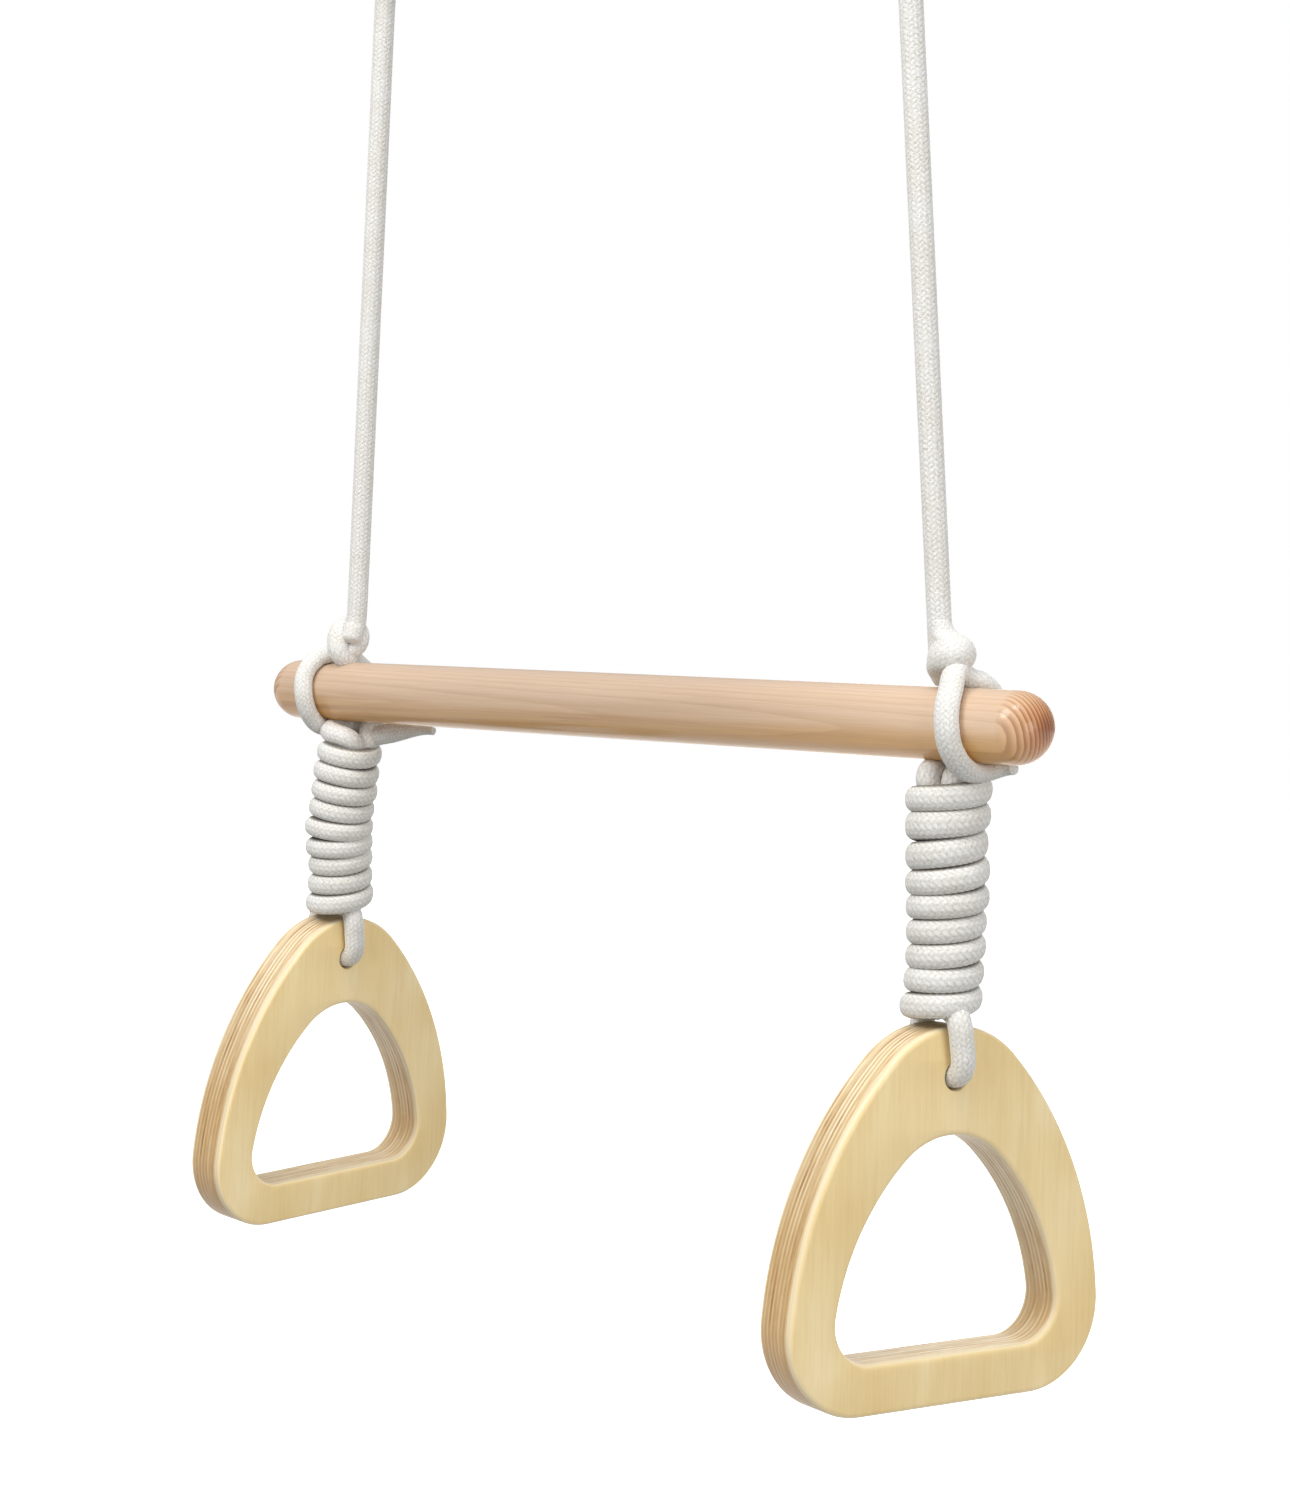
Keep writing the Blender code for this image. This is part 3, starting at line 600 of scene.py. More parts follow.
def ply_material(side):
    """Birch plywood: pale veneer with faint grain on the faces, and the plies along the edges, with
    painted light and shade on faces and edges and a painted highlight along the rim.
    """
    made, net, shader = new_material("birch_ply_" + side, Roughness=0.48, Specular_IOR_Level=0.4,
                                     Coat_Weight=0.10, Coat_Roughness=0.35)
    rotation = ring_rotation(side)
    moved = net.with_vector("SUBTRACT", net.place(), ring_point(side, ROPE_HOLE_Z))
    x, through, z = (net.with_vector("DOT_PRODUCT", moved, rotation.col[index]) for index in range(3))
    local = net.join(x, through, z)
    half, ply, veneer, rim_width = RING_THICKNESS / 2, 0.0014, 0.0013, 0.0036

    # Face veneer: long faint grain upright, soft patches, a few darker wisps
    grain = net.noise(local, (420.0, 60.0, 16.0), 4.0, 0.6)
    fine = net.noise(local, (1500.0, 200.0, 60.0), 3.0, 0.6)
    patch = net.noise(local, (26.0, 9.0, 12.0), 2.0, 0.5, 0.6)
    face = net.ramp(patch, (0.30, (0.780, 0.595, 0.290)), (0.52, (0.840, 0.670, 0.365)),
                    (0.72, (0.880, 0.740, 0.455)))
    face = net.tinted(face, net.ramp(grain, (0.30, (0.88, 0.83, 0.74)), (0.58, 1.0)), 0.28)
    face = net.tinted(face, net.ramp(fine, (0.32, (0.82, 0.76, 0.66)), (0.50, 1.0)), 0.22)

    # Edges: alternate long-grain and end-grain plies, with a thin dark glue line between them
    wander = net.spread(net.noise(local, (30.0, 30.0, 30.0), 2.0, 0.5), 0.0005)
    layer = net.over(net.plus(net.plus(through, half), wander), ply)
    number = net.maths("FLOOR", layer)
    odd = net.maths("MODULO", number, 2.0)
    random = net.nodes.new("ShaderNodeTexWhiteNoise")
    random.noise_dimensions = "1D"
    net.links.new(number, random.inputs["W"])
    strip = net.join(net.times(x, 34.0), net.times(number, 7.3), net.times(z, 34.0))
    tone = net.noise(strip, 1.0, 3.0, 0.55)
    long_ply = net.ramp(tone, (0.30, (0.600, 0.440, 0.235)), (0.50, (0.740, 0.610, 0.390)),
                        (0.72, (0.800, 0.700, 0.510)))
    end_ply = net.ramp(tone, (0.30, (0.420, 0.235, 0.090)), (0.45, (0.570, 0.400, 0.205)),
                       (0.70, (0.670, 0.530, 0.330)))
    edge = net.mixed(odd, long_ply, end_ply)
    edge = net.mixed(0.22, edge, random.outputs["Value"], "SOFT_LIGHT")
    glue = net.ramp(net.maths("FRACT", layer), (0.0, 1.0), (0.13, 0.0))
    edge = net.mixed(net.times(glue, 0.55), edge, (0.30, 0.165, 0.080))
    streaks = net.noise(local, (260.0, 2600.0, 260.0), 3.0, 0.6)
    edge = net.tinted(edge, net.ramp(streaks, (0.32, 0.80), (0.60, 1.0)), 0.5)

    # Painted light: the edges inside the hand hole are painted paler, as lit from above; down the outer
    # sides they turn darker and more golden towards the bottom
    outside = net.ramp(net.times(net.maths("ABSOLUTE", x), 10.0), (0.50, 0.0), (0.72, 1.0))
    low = net.ramp(net.plus(net.times(z, 5.0), 0.8), (0.05, (0.82, 0.66, 0.46)),
                   (0.35, (0.92, 0.80, 0.63)), (0.62, (1.0, 0.97, 0.92)))
    edge = net.tinted(edge, net.mixed(outside, (1.19, 1.22, 1.28), low))

    # A painted highlight: a pale line along the rounded rim, where it meets the face
    outer = net.maths("ABSOLUTE", through)
    rim_highlight = net.ramp(net.over(net.plus(outer, rim_width - half), rim_width),
                   (0.10, 0.0), (0.28, 0.85), (0.62, 0.75), (0.95, 0.0))
    is_face = net.ramp(net.over(net.plus(outer, veneer - half), veneer), (0.0, 0.0), (0.25, 1.0))
    colour = net.mixed(rim_highlight, net.mixed(is_face, edge, face), (0.88, 0.78, 0.55))
    # Painted light: each board's faces and edges are brightened or darkened for how the lamps reach its
    # side
    colour = net.tinted(colour, net.mixed(is_face, SIDES[side]["edge_painted_light"], SIDES[side]["face_painted_light"]))
    net.links.new(colour, shader.inputs["Base Color"])
    net.bump(shader, net.mixed(is_face, net.times(glue, -1.0), grain), 0.00008, 0.5)
    return made


def metal_material(name, colour, roughness, crystals=None):
    """Steel with a little unevenness in its colour and gloss: brushed, or with zinc crystals."""
    made, net, shader = new_material(name, Metallic=1.0)
    place = net.place()
    if crystals is None:
        tone = net.noise(place, (1800.0, 1800.0, 90.0), 3.0, 0.6)
    else:
        cells = net.nodes.new("ShaderNodeTexVoronoi")
        cells.inputs["Scale"].default_value = crystals
        net.links.new(place, cells.inputs["Vector"])
        parts = net.nodes.new("ShaderNodeSeparateColor")
        net.links.new(cells.outputs["Color"], parts.inputs[0])
        wear = net.noise(place, 140.0, 4.0, 0.6)
        tone = net.plus(net.times(parts.outputs[0], 0.5), net.times(wear, 0.5))
    darker = tuple(0.78 * c for c in colour)
    net.links.new(net.ramp(tone, (0.25, darker), (0.75, colour)), shader.inputs["Base Color"])
    net.links.new(net.ramp(tone, (0.2, roughness + 0.10), (0.8, roughness - 0.05)),
                  shader.inputs["Roughness"])
    net.bump(shader, tone, 0.00005, 0.4)
    return made


cotton = cotton_material()

# ---- places


def place_of(side, name):
    """Return a side's point in the row frame."""
    return BAR_CENTRE + np.array(SIDES[side][name])


def ring_rotation(side):
    """Return how a ring is turned: about the vertical, then tilted, then leaned in its own plane."""
    yaw, tilt, lean = (radians(angle) for angle in SIDES[side]["ring_turns"])
    return Matrix.Rotation(yaw, 3, "Z") @ Matrix.Rotation(tilt, 3, "X") @ Matrix.Rotation(lean, 3, "Y")


def ring_point(side, height):
    """Return a point on a ring's middle line, at a height above its bottom edge."""
    return place_of(side, "ring_bottom") + np.array(ring_rotation(side) @ Vector((0.0, 0.0, height)))


def sway_frame(side):
    """Return the loop's centre, the rope's direction down, and the direction across it."""
    hook = np.array((SIDES[side]["hook_x"], 0.0, -EYE_DEPTH))
    down = unit(place_of(side, "rope_foot") - hook)
    return hook + down * CARABINER_DROP, down, np.array((-down[2], 0.0, down[0]))


def round_bar(*stations):
    """Return the points of a strand that lies pressed round the bar, from its (angle, x) stations.

    90 degrees is the top of the bar, 180 its front and 270 its underside.
    """
    radius = BAR_RADIUS + GAP + ROPE_RADIUS * PRESSED
    return [BAR_CENTRE + np.array((x, radius * cos(radians(a)), radius * sin(radians(a))))
            for a, x in stations]


def from_bar(*points):
    """Return points in the row frame, given from the bar's centre."""
    return [BAR_CENTRE + np.array(point) for point in points]


# ---- ropes


def make_hanging_rope(side):
    """Make the rope from the end in its whipping, over the carabiner, and down into the knot."""
    centre, down, aside = sway_frame(side)
    # Each point of the run is its place across the loop, and its height above the loop's centre
    leg = [(LEG_HALF_SPACING, -0.050), (LEG_HALF_SPACING, -LOOP_HEIGHT), (0.0085, -0.014)]
    run = [(-LEG_HALF_SPACING, -0.070)] + [(-x, z) for x, z in leg]
    run += [(-LOOP_BEND * cos(a), LOOP_BEND * sin(a)) for a in np.linspace(0.0, pi, 7)]
    run += leg[::-1] + [(0.0045, -0.070), (0.0012, -0.086), (0.0, -0.102)]
    length = np.linalg.norm(place_of(side, "rope_foot") - centre)
    run += [(0.0, -z) for z in np.linspace(0.16, length - 0.035, 6)]
    route = [centre + aside * x - down * z for x, z in run]
    route += from_bar(*SIDES[side]["rope_end"])
    make_strand("suspension_rope_" + side, route, "rope_" + side,
                ("top_loop_" + side, "hanging_rope_" + side), start=(0.0, 1.0, 0.0))


def make_wraps(name, body, node, wound, power, extra_radius=0.0, extra_half=0.0):
    """Make a rope from its winding, with a little extra on each half size."""
    line, across, beside, half = wound
    # The wraps get painted shade where they press on each other
    verts, faces, heights, line = tube_shape(line, across, beside, ROPE_RADIUS + extra_radius,
                                             half + extra_half, power=power, shade_contacts=1.0)
    obj = make_piece(name, verts, faces, heights)
    finish_rope(obj, body, node)


def make_whipping(side):
    """Make the four wraps that close the loop."""
    centre, down, aside = sway_frame(side)
    top = centre - down * WHIPPING_TOP
    bottom = top + down * WHIPPING_LENGTH
    wound = winding((top, bottom), aside, WHIPPING_SHIFTS, np.zeros(WHIPPING_WRAPS), WHIPPING_RADII,
                    (0.0, 0.0), WHIPPING_WRAPS)
    make_wraps("loop_whipping_" + side, "rope_" + side, "top_whipping_" + side, wound,
               WHIPPING_SQUARENESS)


def make_coil(side):
    """Make the nine wraps between the bar and the ring."""
    axis = place_of(side, "coil_top"), place_of(side, "coil_bottom")
    each = [SIDES[side][name] for name in ("coil_shift", "coil_lift", "coil_radii", "coil_tilt")]
    make_wraps("coil_wraps_" + side, "coil_" + side, "coil_" + side,
               winding(axis, VIEW_RIGHT, *each, COIL_WRAPS),
               COIL_SQUARENESS, COIL_EXTRA_RADIUS, COIL_EXTRA_HALF)


def make_bight(side):
    """Make the bight of rope that passes through the ring's hole and up into the coil."""
    rotation = ring_rotation(side)
    hole = ring_point(side, ROPE_HOLE_Z)
    rise = RING_HEIGHT - ROPE_HOLE_Z
    # From inside the coil, over the board's edge and down its front to the middle of the hole
    near = [(-0.0056, rise + 0.0200), (-0.0062, rise + 0.0126), (-0.0107, rise + 0.0079),
            (-0.0163, rise + 0.0053), (-0.0189, rise - 0.0009),
            (-0.0190, 0.62 * rise), (-0.0187, 0.34 * rise), (-0.0166, 0.0034), (-0.0128, 0.0008),
            (-0.0060, 0.0)]
    far = [(-y, z) for y, z in reversed(near)]
    shift = SIDES[side]["bight_shift"]
    aside = [shift * min(1.0, max(0.0, z) / rise) for _, z in near]
    aside += [-offset for offset in reversed(aside)]
    route = [np.array(rotation @ Vector((x, y, z))) + hole for x, (y, z) in zip(aside, near + far)]
    radius = (0.0058, 0.0058, 0.0056, 0.0058, 0.0058, 0.0058, 0.0057, 0.0056, 0.0055)
    radius += radius[::-1]
    make_strand("ring_bight_rope_" + side, route, "bight_" + side, ("ring_bight_" + side,), radius,
                start=tuple(rotation.col[0]))
    # The strands packed inside the wraps show as a core above the ring
    core = [np.array(rotation @ Vector((0.0, 0.0, rise + z))) + hole for z in (0.0062, 0.013, 0.020)]
    packed, _ = rope("coil_core_" + side, core, COIL_CORE_RADIUS, tuple(rotation.col[0]))
    finish_rope(packed, "coil_" + side, "coil_" + side)


def make_strand(name, route, body, nodes, radius=ROPE_RADIUS, far_end="object", start=(1.0, 0.0, 0.0),
                **shape):
    """Make a rope that rides on a body, or with none, has its placing baked into its mesh."""
    obj, line = rope(name, route, radius, start, **shape)
    finish_rope(obj, body, *nodes)
    if body is None:
        cross_joint(obj)


def cross_joint(obj):
    """Bake the placing of a strand that runs from the bar to the sling, below the bar, into its mesh."""
    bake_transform(obj)


def make_right_hitch():
    """Make the right-hand knot, the strand over the front of the bar, and those behind it."""
    knot_x, knot_depth, knot_strands = 0.2269, 1.12, 24
    stations = (  # height, place across the view, half width
        (0.0490, -0.0050, 0.0052), (0.0443, -0.0036, 0.0058), (0.0410, -0.0008, 0.0078),
        (0.0391, 0.0006, 0.0088), (0.0358, 0.0008, 0.0105), (0.0325, 0.0004, 0.0114),
        (0.0302, 0.0001, 0.0113), (0.0278, -0.0006, 0.0107), (0.0255, -0.0018, 0.0092),
        (0.0238, -0.0034, 0.0068), (0.0220, -0.0046, 0.0044), (0.0200, -0.0050, 0.0028),
        (0.0186, -0.0052, 0.0016))
    height, sideways, half = smooth_route(stations).T
    count = len(height)
    line = np.stack((knot_x + sideways / VIEW_RIGHT[0], np.zeros(count), height), axis=1) + BAR_CENTRE
    across, beside = (np.repeat(way[None, :], count, axis=0) for way in (VIEW_RIGHT, TO_CAMERA))
    verts, faces, heights, _ = tube_shape(line, across, beside, half, knot_depth * half,
                                          strands=knot_strands, blunt=(0.2, 0.5))
    knot = make_piece("hitch_knot_right", verts, faces, heights)
    finish_rope(knot, "bar", "knot_right")

    route = from_bar((0.2325, -0.0010, 0.0270), (0.2356, -0.0088, 0.0236))
    route += round_bar((132, 0.2386), (147, 0.2402), (160, 0.2413), (172, 0.2420), (183, 0.2426),
                       (196, 0.2428), (209, 0.2432), (225, 0.2437), (240, 0.2440), (255, 0.2445),
                       (270, 0.2455), (283, 0.2473), (293, 0.2502), (298, 0.2535), (299, 0.2566))
    radius = (0.0050, 0.0056, *[0.0059] * 10, 0.0058, 0.0055, 0.0050, 0.0045, 0.0040)
    make_strand("front_strand_rope_right", route, "bar", ("front_strand_right",), radius, "bare",
                flat=PRESSED, blunt=(0.5, 0.03))

    def at(sideways, toward, height):
        place = BAR_CENTRE + np.array((SIDES["right"]["coil_top"][0], 0.0, height))
        return place + VIEW_RIGHT * sideways + TO_CAMERA * toward

    route = from_bar((0.2300, 0.0005, 0.0262))
    route += round_bar((74, 0.2332), (62, 0.2364), (40, 0.2384), (15, 0.2385), (-12, 0.2370),
                       (-38, 0.2325), (-62, 0.2272))
    route += [at(0.0034, -0.0020, -0.0236), at(0.0016, 0.0, -0.0290), at(0.0010, -0.0010, -0.0410)]
    make_strand("back_strand_rope_right", route, None, ("back_strand_right", "outer_leg_right"),
                flat=HALF_PRESSED)

    route = from_bar((0.2262, 0.0010, 0.0262))
    route += round_bar((70, 0.2240), (48, 0.2216), (22, 0.2200), (-8, 0.2190), (-38, 0.2180),
                       (-62, 0.2172))
    route += [at(-0.0042, -0.0085, -0.0208), at(-0.0078, -0.0045, -0.0222), at(-0.0096, -0.0020, -0.0252),
              at(-0.0090, -0.0020, -0.0300), at(-0.0062, -0.0030, -0.0410)]
    make_strand("inner_strand_rope_right", route, None, ("inner_leg_right",))


def make_left_hitch():
    """Make the left-hand knot, the strand over the front of the bar, the legs and the tapered tail."""
    knot_x = -0.2211

    def at(sideways, back, height):
        place = BAR_CENTRE + np.array((knot_x, 0.0, height))
        return place + VIEW_RIGHT * sideways - TO_CAMERA * back

    collar = [at(0.0060, 0.0050, 0.0350), at(0.0020, 0.0055, 0.0382), at(-0.0030, 0.0030, 0.0388),
              at(-0.0062, -0.0015, 0.0350), at(-0.0068, -0.0045, 0.0294), at(-0.0058, -0.0060, 0.0241),
              at(-0.0034, -0.0045, 0.0202), at(0.0002, -0.0010, 0.0188)]
    verts, faces, heights = [], [], []
    socket = [at(-0.0044, -0.0020, 0.0225), at(-0.0006, -0.0020, 0.0238), at(0.0036, -0.0016, 0.0260),
              at(0.0060, -0.0006, 0.0300), at(0.0062, 0.0010, 0.0345), at(0.0040, 0.0040, 0.0375)]
    for route, radius in ((collar, (0.0050, 0.0056, 0.0058, 0.0059, 0.0060, 0.0060, 0.0056, 0.0050)),
                          (socket, (0.0048, 0.0050, 0.0052, 0.0052, 0.0050, 0.0046))):
        line = smooth_route(route)
        across, beside = carried_frame(line, TO_CAMERA)
        size = np.interp(np.linspace(0, 1, len(line)), np.linspace(0, 1, len(radius)), radius)
        points, quads, high, _ = tube_shape(line, across, beside, size, size)
        start = sum(len(v) for v in verts)
        verts.append(points)
        faces += [tuple(start + index for index in face) for face in quads]
        heights.append(high)
    knot = make_piece("hitch_knot_left", np.vstack(verts), faces, np.concatenate(heights))
    finish_rope(knot, "bar", "knot_left")

    route = [at(-0.0020, 0.0000, 0.0262), at(-0.0072, 0.0030, 0.0236)]
    route += round_bar((113, -0.2374), (129, -0.2384), (144, -0.2387), (159, -0.2383), (175, -0.2372),
                       (188, -0.2367), (203, -0.2367), (219, -0.2372), (239, -0.2386), (256, -0.2394),
                       (274, -0.2395), (292, -0.2385))
    radius = (0.0046, 0.0050, *[0.0053] * 10, 0.0052, 0.0050)
    make_strand("front_strand_rope_left", route, "bar", ("front_strand_left",), radius,
                flat=HALF_PRESSED)

    route = [at(-0.0030, 0.0020, 0.0262)]
    route += round_bar((62, -0.2425), (36, -0.2425), (5, -0.2400), (-30, -0.2345), (-58, -0.2300))
    route += [at(-0.0060, 0.0110, -0.0216), at(-0.0116, 0.0040, -0.0232), at(-0.0088, -0.0040, -0.0249),
              at(-0.0032, -0.0086, -0.0262), at(0.0022, -0.0086, -0.0290), at(0.0040, -0.0030, -0.0345),
              at(0.0030, 0.0010, -0.0400)]
    radius = (0.0054, *[0.0058] * 6, 0.0060, 0.0062, 0.0062, 0.0060, 0.0058, 0.0058)
    make_strand("back_strand_rope_left", route, None, ("back_strand_left", "outer_leg_left"), radius)

    route = [at(-0.0030, 0.0030, 0.0240)]
    route += round_bar((66, -0.2345), (50, -0.2335), (30, -0.2295), (5, -0.2230), (-30, -0.2165),
                       (-60, -0.2130))
    route += [at(0.0114, 0.0010, -0.0232), at(0.0116, 0.0000, -0.0290), at(0.0098, 0.0010, -0.0350),
              at(0.0070, 0.0020, -0.0420)]
    make_strand("inner_strand_rope_left", route, None, ("inner_leg_left",))

    route = from_bar((-0.2095, 0.0110, -0.0262), (-0.2060, 0.0115, -0.0254), (-0.1995, 0.0130, -0.0242),
                     (-0.1921, 0.0145, -0.0230), (-0.1848, 0.0160, -0.0220), (-0.1772, 0.0172, -0.0215),
                     (-0.1693, 0.0182, -0.0215), (-0.1667, 0.0186, -0.0217))
    radius = (0.0058, 0.0059, 0.0058, 0.0052, 0.0044, 0.0034, 0.0025, 0.0022)
    tail, _ = rope("tail_rope_left", route, radius, (0.0, 0.0, 1.0), blunt=(0.5, 0.25))
    finish_rope(tail, "bar", "tail_left")


for side in SIDES:
    make_hanging_rope(side)
    make_whipping(side)
    make_coil(side)
    make_bight(side)
make_right_hitch()
make_left_hitch()

# ---- bar and plywood rings


def arc(centre, radius, start, end, steps):
    """Return points along an arc, both ends included."""
    angles = [start + (end - start) * step / steps for step in range(steps + 1)]
    return [(centre[0] + radius * cos(a), centre[1] + radius * sin(a)) for a in angles]


def rounded_triangle(bottom, height, apex_radius, corner_x, corner_radius, side_radius, steps):
    """Return the closed outline of a triangle with a round top, bowed sides and round corners."""
    apex = (0.0, bottom + height - apex_radius)
    corner = (corner_x, bottom + corner_radius)
    run = (corner[0] - apex[0], corner[1] - apex[1])
    span = hypot(*run)
    to_apex = side_radius - apex_radius
    to_corner = side_radius - corner_radius
    along = (to_apex ** 2 - to_corner ** 2 + span ** 2) / (2 * span)
    away = sqrt(to_apex ** 2 - along ** 2)
    step = (run[0] / span, run[1] / span)
    centre = (apex[0] + along * step[0] + away * step[1], apex[1] + along * step[1] - away * step[0])
    top_angle = atan2(apex[1] - centre[1], apex[0] - centre[0])
    low_angle = atan2(corner[1] - centre[1], corner[0] - centre[0])
    half = arc(apex, apex_radius, pi / 2, top_angle, steps)
    half += arc(centre, side_radius, top_angle, low_angle, steps)[1:]
    half += arc(corner, corner_radius, low_angle, -pi / 2, steps)[1:]
    mirrored = [(-x, z) for x, z in reversed(half)]
    return half + mirrored[:-1]


def turned_faces(rows, around):
    """Return the quads between a turned shape's rows of points."""
    corners = [(row * around + k, row * around + (k + 1) % around)
               for row in range(rows - 1) for k in range(around)]
    return [(a, b, b + around, a + around) for a, b in corners]


def make_bar():
    """Make the turned bar: a straight rod whose two ends are half spheres."""
    around, dome_steps, straight_steps = 144, 30, 60
    straight = BAR_LENGTH / 2 - BAR_RADIUS
    dome = [(straight + BAR_RADIUS * sin(a), BAR_RADIUS * cos(a))
            for a in np.linspace(0.0, pi / 2, dome_steps)[:-1]]
    profile = [(-x, r) for x, r in reversed(dome)]
    profile += [(x, BAR_RADIUS) for x in np.linspace(-straight, straight, straight_steps)[1:-1]]
    profile += dome
    verts = [BAR_CENTRE + np.array((x, r * cos(a), r * sin(a))) for x, r in profile
             for a in np.linspace(0.0, 2 * pi, around, endpoint=False)]
    left_tip, right_tip = len(verts), len(verts) + 1
    verts += from_bar((-BAR_LENGTH / 2, 0.0, 0.0), (BAR_LENGTH / 2, 0.0, 0.0))
    faces = turned_faces(len(profile), around)
    last = (len(profile) - 1) * around
    for k in range(around):
        after = (k + 1) % around
        faces.append((left_tip, after, k))
        faces.append((right_tip, last + k, last + after))
    bar = make_piece("turned_bar", verts, faces)
    bar.data.materials.append(bar_material())
    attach(bar, "bar")
    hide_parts("bar")


def add_loop(curve, outline):
    """Add a closed outline to a flat curve."""
    spline = curve.splines.new("POLY")
    spline.points.add(len(outline) - 1)
    for control, (x, y) in zip(spline.points, outline):
        control.co = (x, y, 0.0, 1.0)
    spline.use_cyclic_u = True


def make_ring(side):
    """Make a plywood ring with finely rounded edges, its hand hole and its eased rope hole."""
    outline = bpy.data.curves.new("ring_outline", "CURVE")
    outline.dimensions = "2D"
    outline.fill_mode = "BOTH"
    outline.extrude = RING_THICKNESS / 2 - RING_EDGE_ROUND
    outline.bevel_depth = RING_EDGE_ROUND
    outline.bevel_resolution = 5
    outline.offset = -RING_EDGE_ROUND
    add_loop(outline, rounded_triangle(
        0.0, RING_HEIGHT, RING_APEX_RADIUS, RING_CORNER_X, RING_CORNER_RADIUS, RING_SIDE_RADIUS,
        RING_STEPS))
    add_loop(outline, list(reversed(rounded_triangle(
        HAND_HOLE_BOTTOM, HAND_HOLE_HEIGHT, HAND_HOLE_APEX_RADIUS, HAND_HOLE_CORNER_X,
        HAND_HOLE_CORNER_RADIUS, HAND_HOLE_SIDE_RADIUS, HAND_HOLE_STEPS))))
    data = plain_mesh(shown("ring_outline", outline))
    data.transform(Matrix.Translation((0.0, 0.0, -ROPE_HOLE_Z)) @ Matrix.Rotation(pi / 2, 4, "X"))
    ring = shown("ring_board_" + side, data)

    # The cutter for the rope hole, whose two ends flare to ease the hole's edges
    ease, past, around = 0.0009, 0.001, 48
    half = RING_THICKNESS / 2
    profile = [(ROPE_HOLE_RADIUS + ease + past, half + past)]
    profile += [(ROPE_HOLE_RADIUS + ease - ease * sin(a), half - ease + ease * cos(a))
                for a in np.linspace(0.0, pi / 2, 5)]
    profile += [(r, -y) for r, y in reversed(profile)]
    verts = [(r * cos(a), y, r * sin(a)) for r, y in profile
             for a in np.linspace(0.0, 2 * pi, around, endpoint=False)]
    faces = turned_faces(len(profile), around)
    faces.append(tuple(range(around - 1, -1, -1)))
    faces.append(tuple((len(profile) - 1) * around + k for k in range(around)))
    drill = make_piece("drill", verts, faces)
    cut = ring.modifiers.new("rope_hole", "BOOLEAN")
    cut.object = drill
    cut.operation = "DIFFERENCE"
    cut.solver = "EXACT"
    data = plain_mesh(ring)
    bpy.data.objects.remove(drill, do_unlink=True)
    ring = shown("ring_board_" + side, data)
    place = Matrix.Translation(Vector(ring_point(side, ROPE_HOLE_Z))) @ ring_rotation(side).to_4x4()
    data.transform(place)
    data.shade_smooth()
    data.set_sharp_from_angle(angle=radians(SHARP_ANGLE))
    data.materials.clear()
    data.materials.append(ply_material(side))
    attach(ring, "ring_" + side)
    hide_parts("ring_" + side)


def plain_mesh(source):
    """Turn an object into plain mesh data with its seams welded, and remove the object."""
    bpy.context.view_layer.update()
    evaluated = source.evaluated_get(bpy.context.evaluated_depsgraph_get())
    data = bpy.data.meshes.new_from_object(evaluated)
    bm = bmesh.new()
    bm.from_mesh(data)
    bmesh.ops.remove_doubles(bm, verts=bm.verts, dist=WELD_DISTANCE)
    bmesh.ops.recalc_face_normals(bm, faces=bm.faces)
    bm.to_mesh(data)
    bm.free()
    bpy.data.objects.remove(source, do_unlink=True)
    return data


make_bar()
for side in SIDES:
    make_ring(side)

# ---- CAD nodes that stay

zinc = metal_material("zinc_plate", (0.60, 0.61, 0.62), 0.38, 260.0)
stainless = metal_material("brushed_stainless", (0.64, 0.64, 0.65), 0.26)


def dress(name, finish):
    """Give a CAD node a finish."""
    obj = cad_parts[name]
    for slot in obj.material_slots:
        slot.material = finish


for side in SIDES:
    for name in ("ceiling_plate_", "ceiling_eye_", "gate_pin_"):
        dress(name + side, zinc)
    for name in ("carabiner_body_", "carabiner_gate_"):
        dress(name + side, stainless)

# ---- floor and light

FLOOR_Z = -1.75
LIT_PLACE = (0.0, 0.0, -0.62)


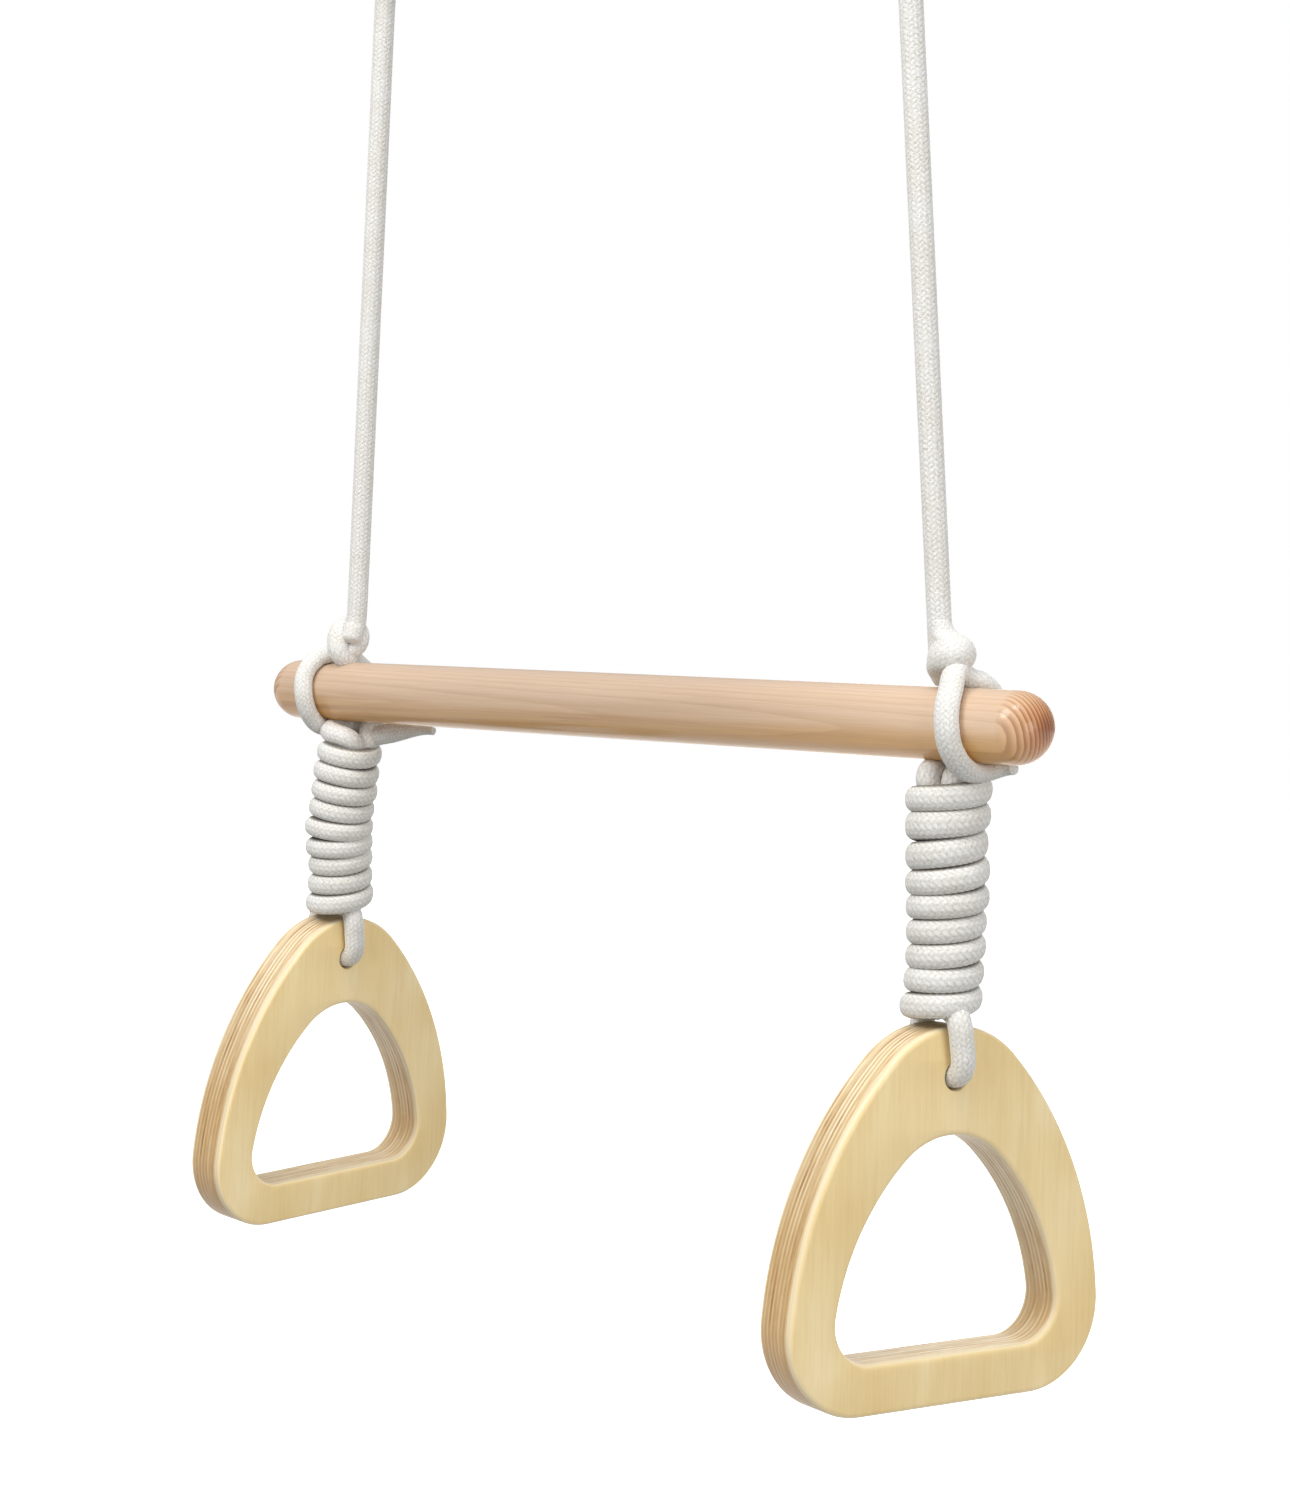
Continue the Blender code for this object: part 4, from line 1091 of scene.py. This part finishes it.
def make_stage():
    """Make a plain pale floor below the rings."""
    size = 12.0
    corners = [(x, y, FLOOR_Z) for x, y in ((-size, -size), (size, -size), (size, size), (-size, size))]
    data = bpy.data.meshes.new("floor")
    data.from_pydata(corners, [], [(0, 1, 2, 3)])
    floor = shown("floor", data)
    floor.visible_diffuse = False
    made, _, _ = new_material("pale_floor", Base_Color=(0.90, 0.90, 0.90, 1.0), Roughness=0.9,
                              Emission_Color=(1.0, 1.0, 1.0, 1.0), Emission_Strength=0.70)
    data.materials.append(made)


def make_light(name, place, size, power, target=LIT_PLACE):
    """Make a large soft lamp that points at a place."""
    data = bpy.data.lights.new(name, "AREA")
    data.shape = "DISK"
    data.size = size
    data.energy = power
    lamp = shown(name, data)
    lamp.location = place
    lamp.rotation_euler = (Vector(target) - Vector(place)).to_track_quat("-Z", "Y").to_euler()


def make_world():
    """White all round: bright where the camera sees it, softer as a light."""
    world = bpy.data.worlds.new("studio")
    bpy.context.scene.world = world
    world.use_nodes = True
    net = Net(world)
    net.nodes.clear()
    seen = net.nodes.new("ShaderNodeBackground")
    seen.inputs["Color"].default_value = (1.0, 1.0, 1.0, 1.0)
    lit = net.nodes.new("ShaderNodeBackground")
    _, _, up = net.split(net.nodes.new("ShaderNodeTexCoord").outputs["Generated"])
    sky = net.ramp(net.plus(net.times(up, 0.5), 0.5), (0.0, 0.20), (0.5, 0.40), (1.0, 0.85))
    path = net.nodes.new("ShaderNodeLightPath")
    mix = net.nodes.new("ShaderNodeMixShader")
    out = net.nodes.new("ShaderNodeOutputWorld")
    for source, socket in ((sky, lit.inputs["Color"]), (path.outputs["Is Camera Ray"], mix.inputs[0]),
                           (lit.outputs[0], mix.inputs[1]), (seen.outputs[0], mix.inputs[2]),
                           (mix.outputs[0], out.inputs["Surface"])):
        net.links.new(source, socket)


make_stage()
make_world()
make_light("key", (-0.2, -2.0, 1.2), 1.3, 42.0)
make_light("fill", (4.6, -1.1, -0.2), 2.6, 72.0)
make_light("top", (0.60, -0.75, 1.47), 0.7, 12.0, (0.1, 0.0, -0.62))
make_light("back", (-1.6, 3.2, -0.8), 2.4, 26.0)
bpy.context.scene.view_settings.view_transform = "Standard"
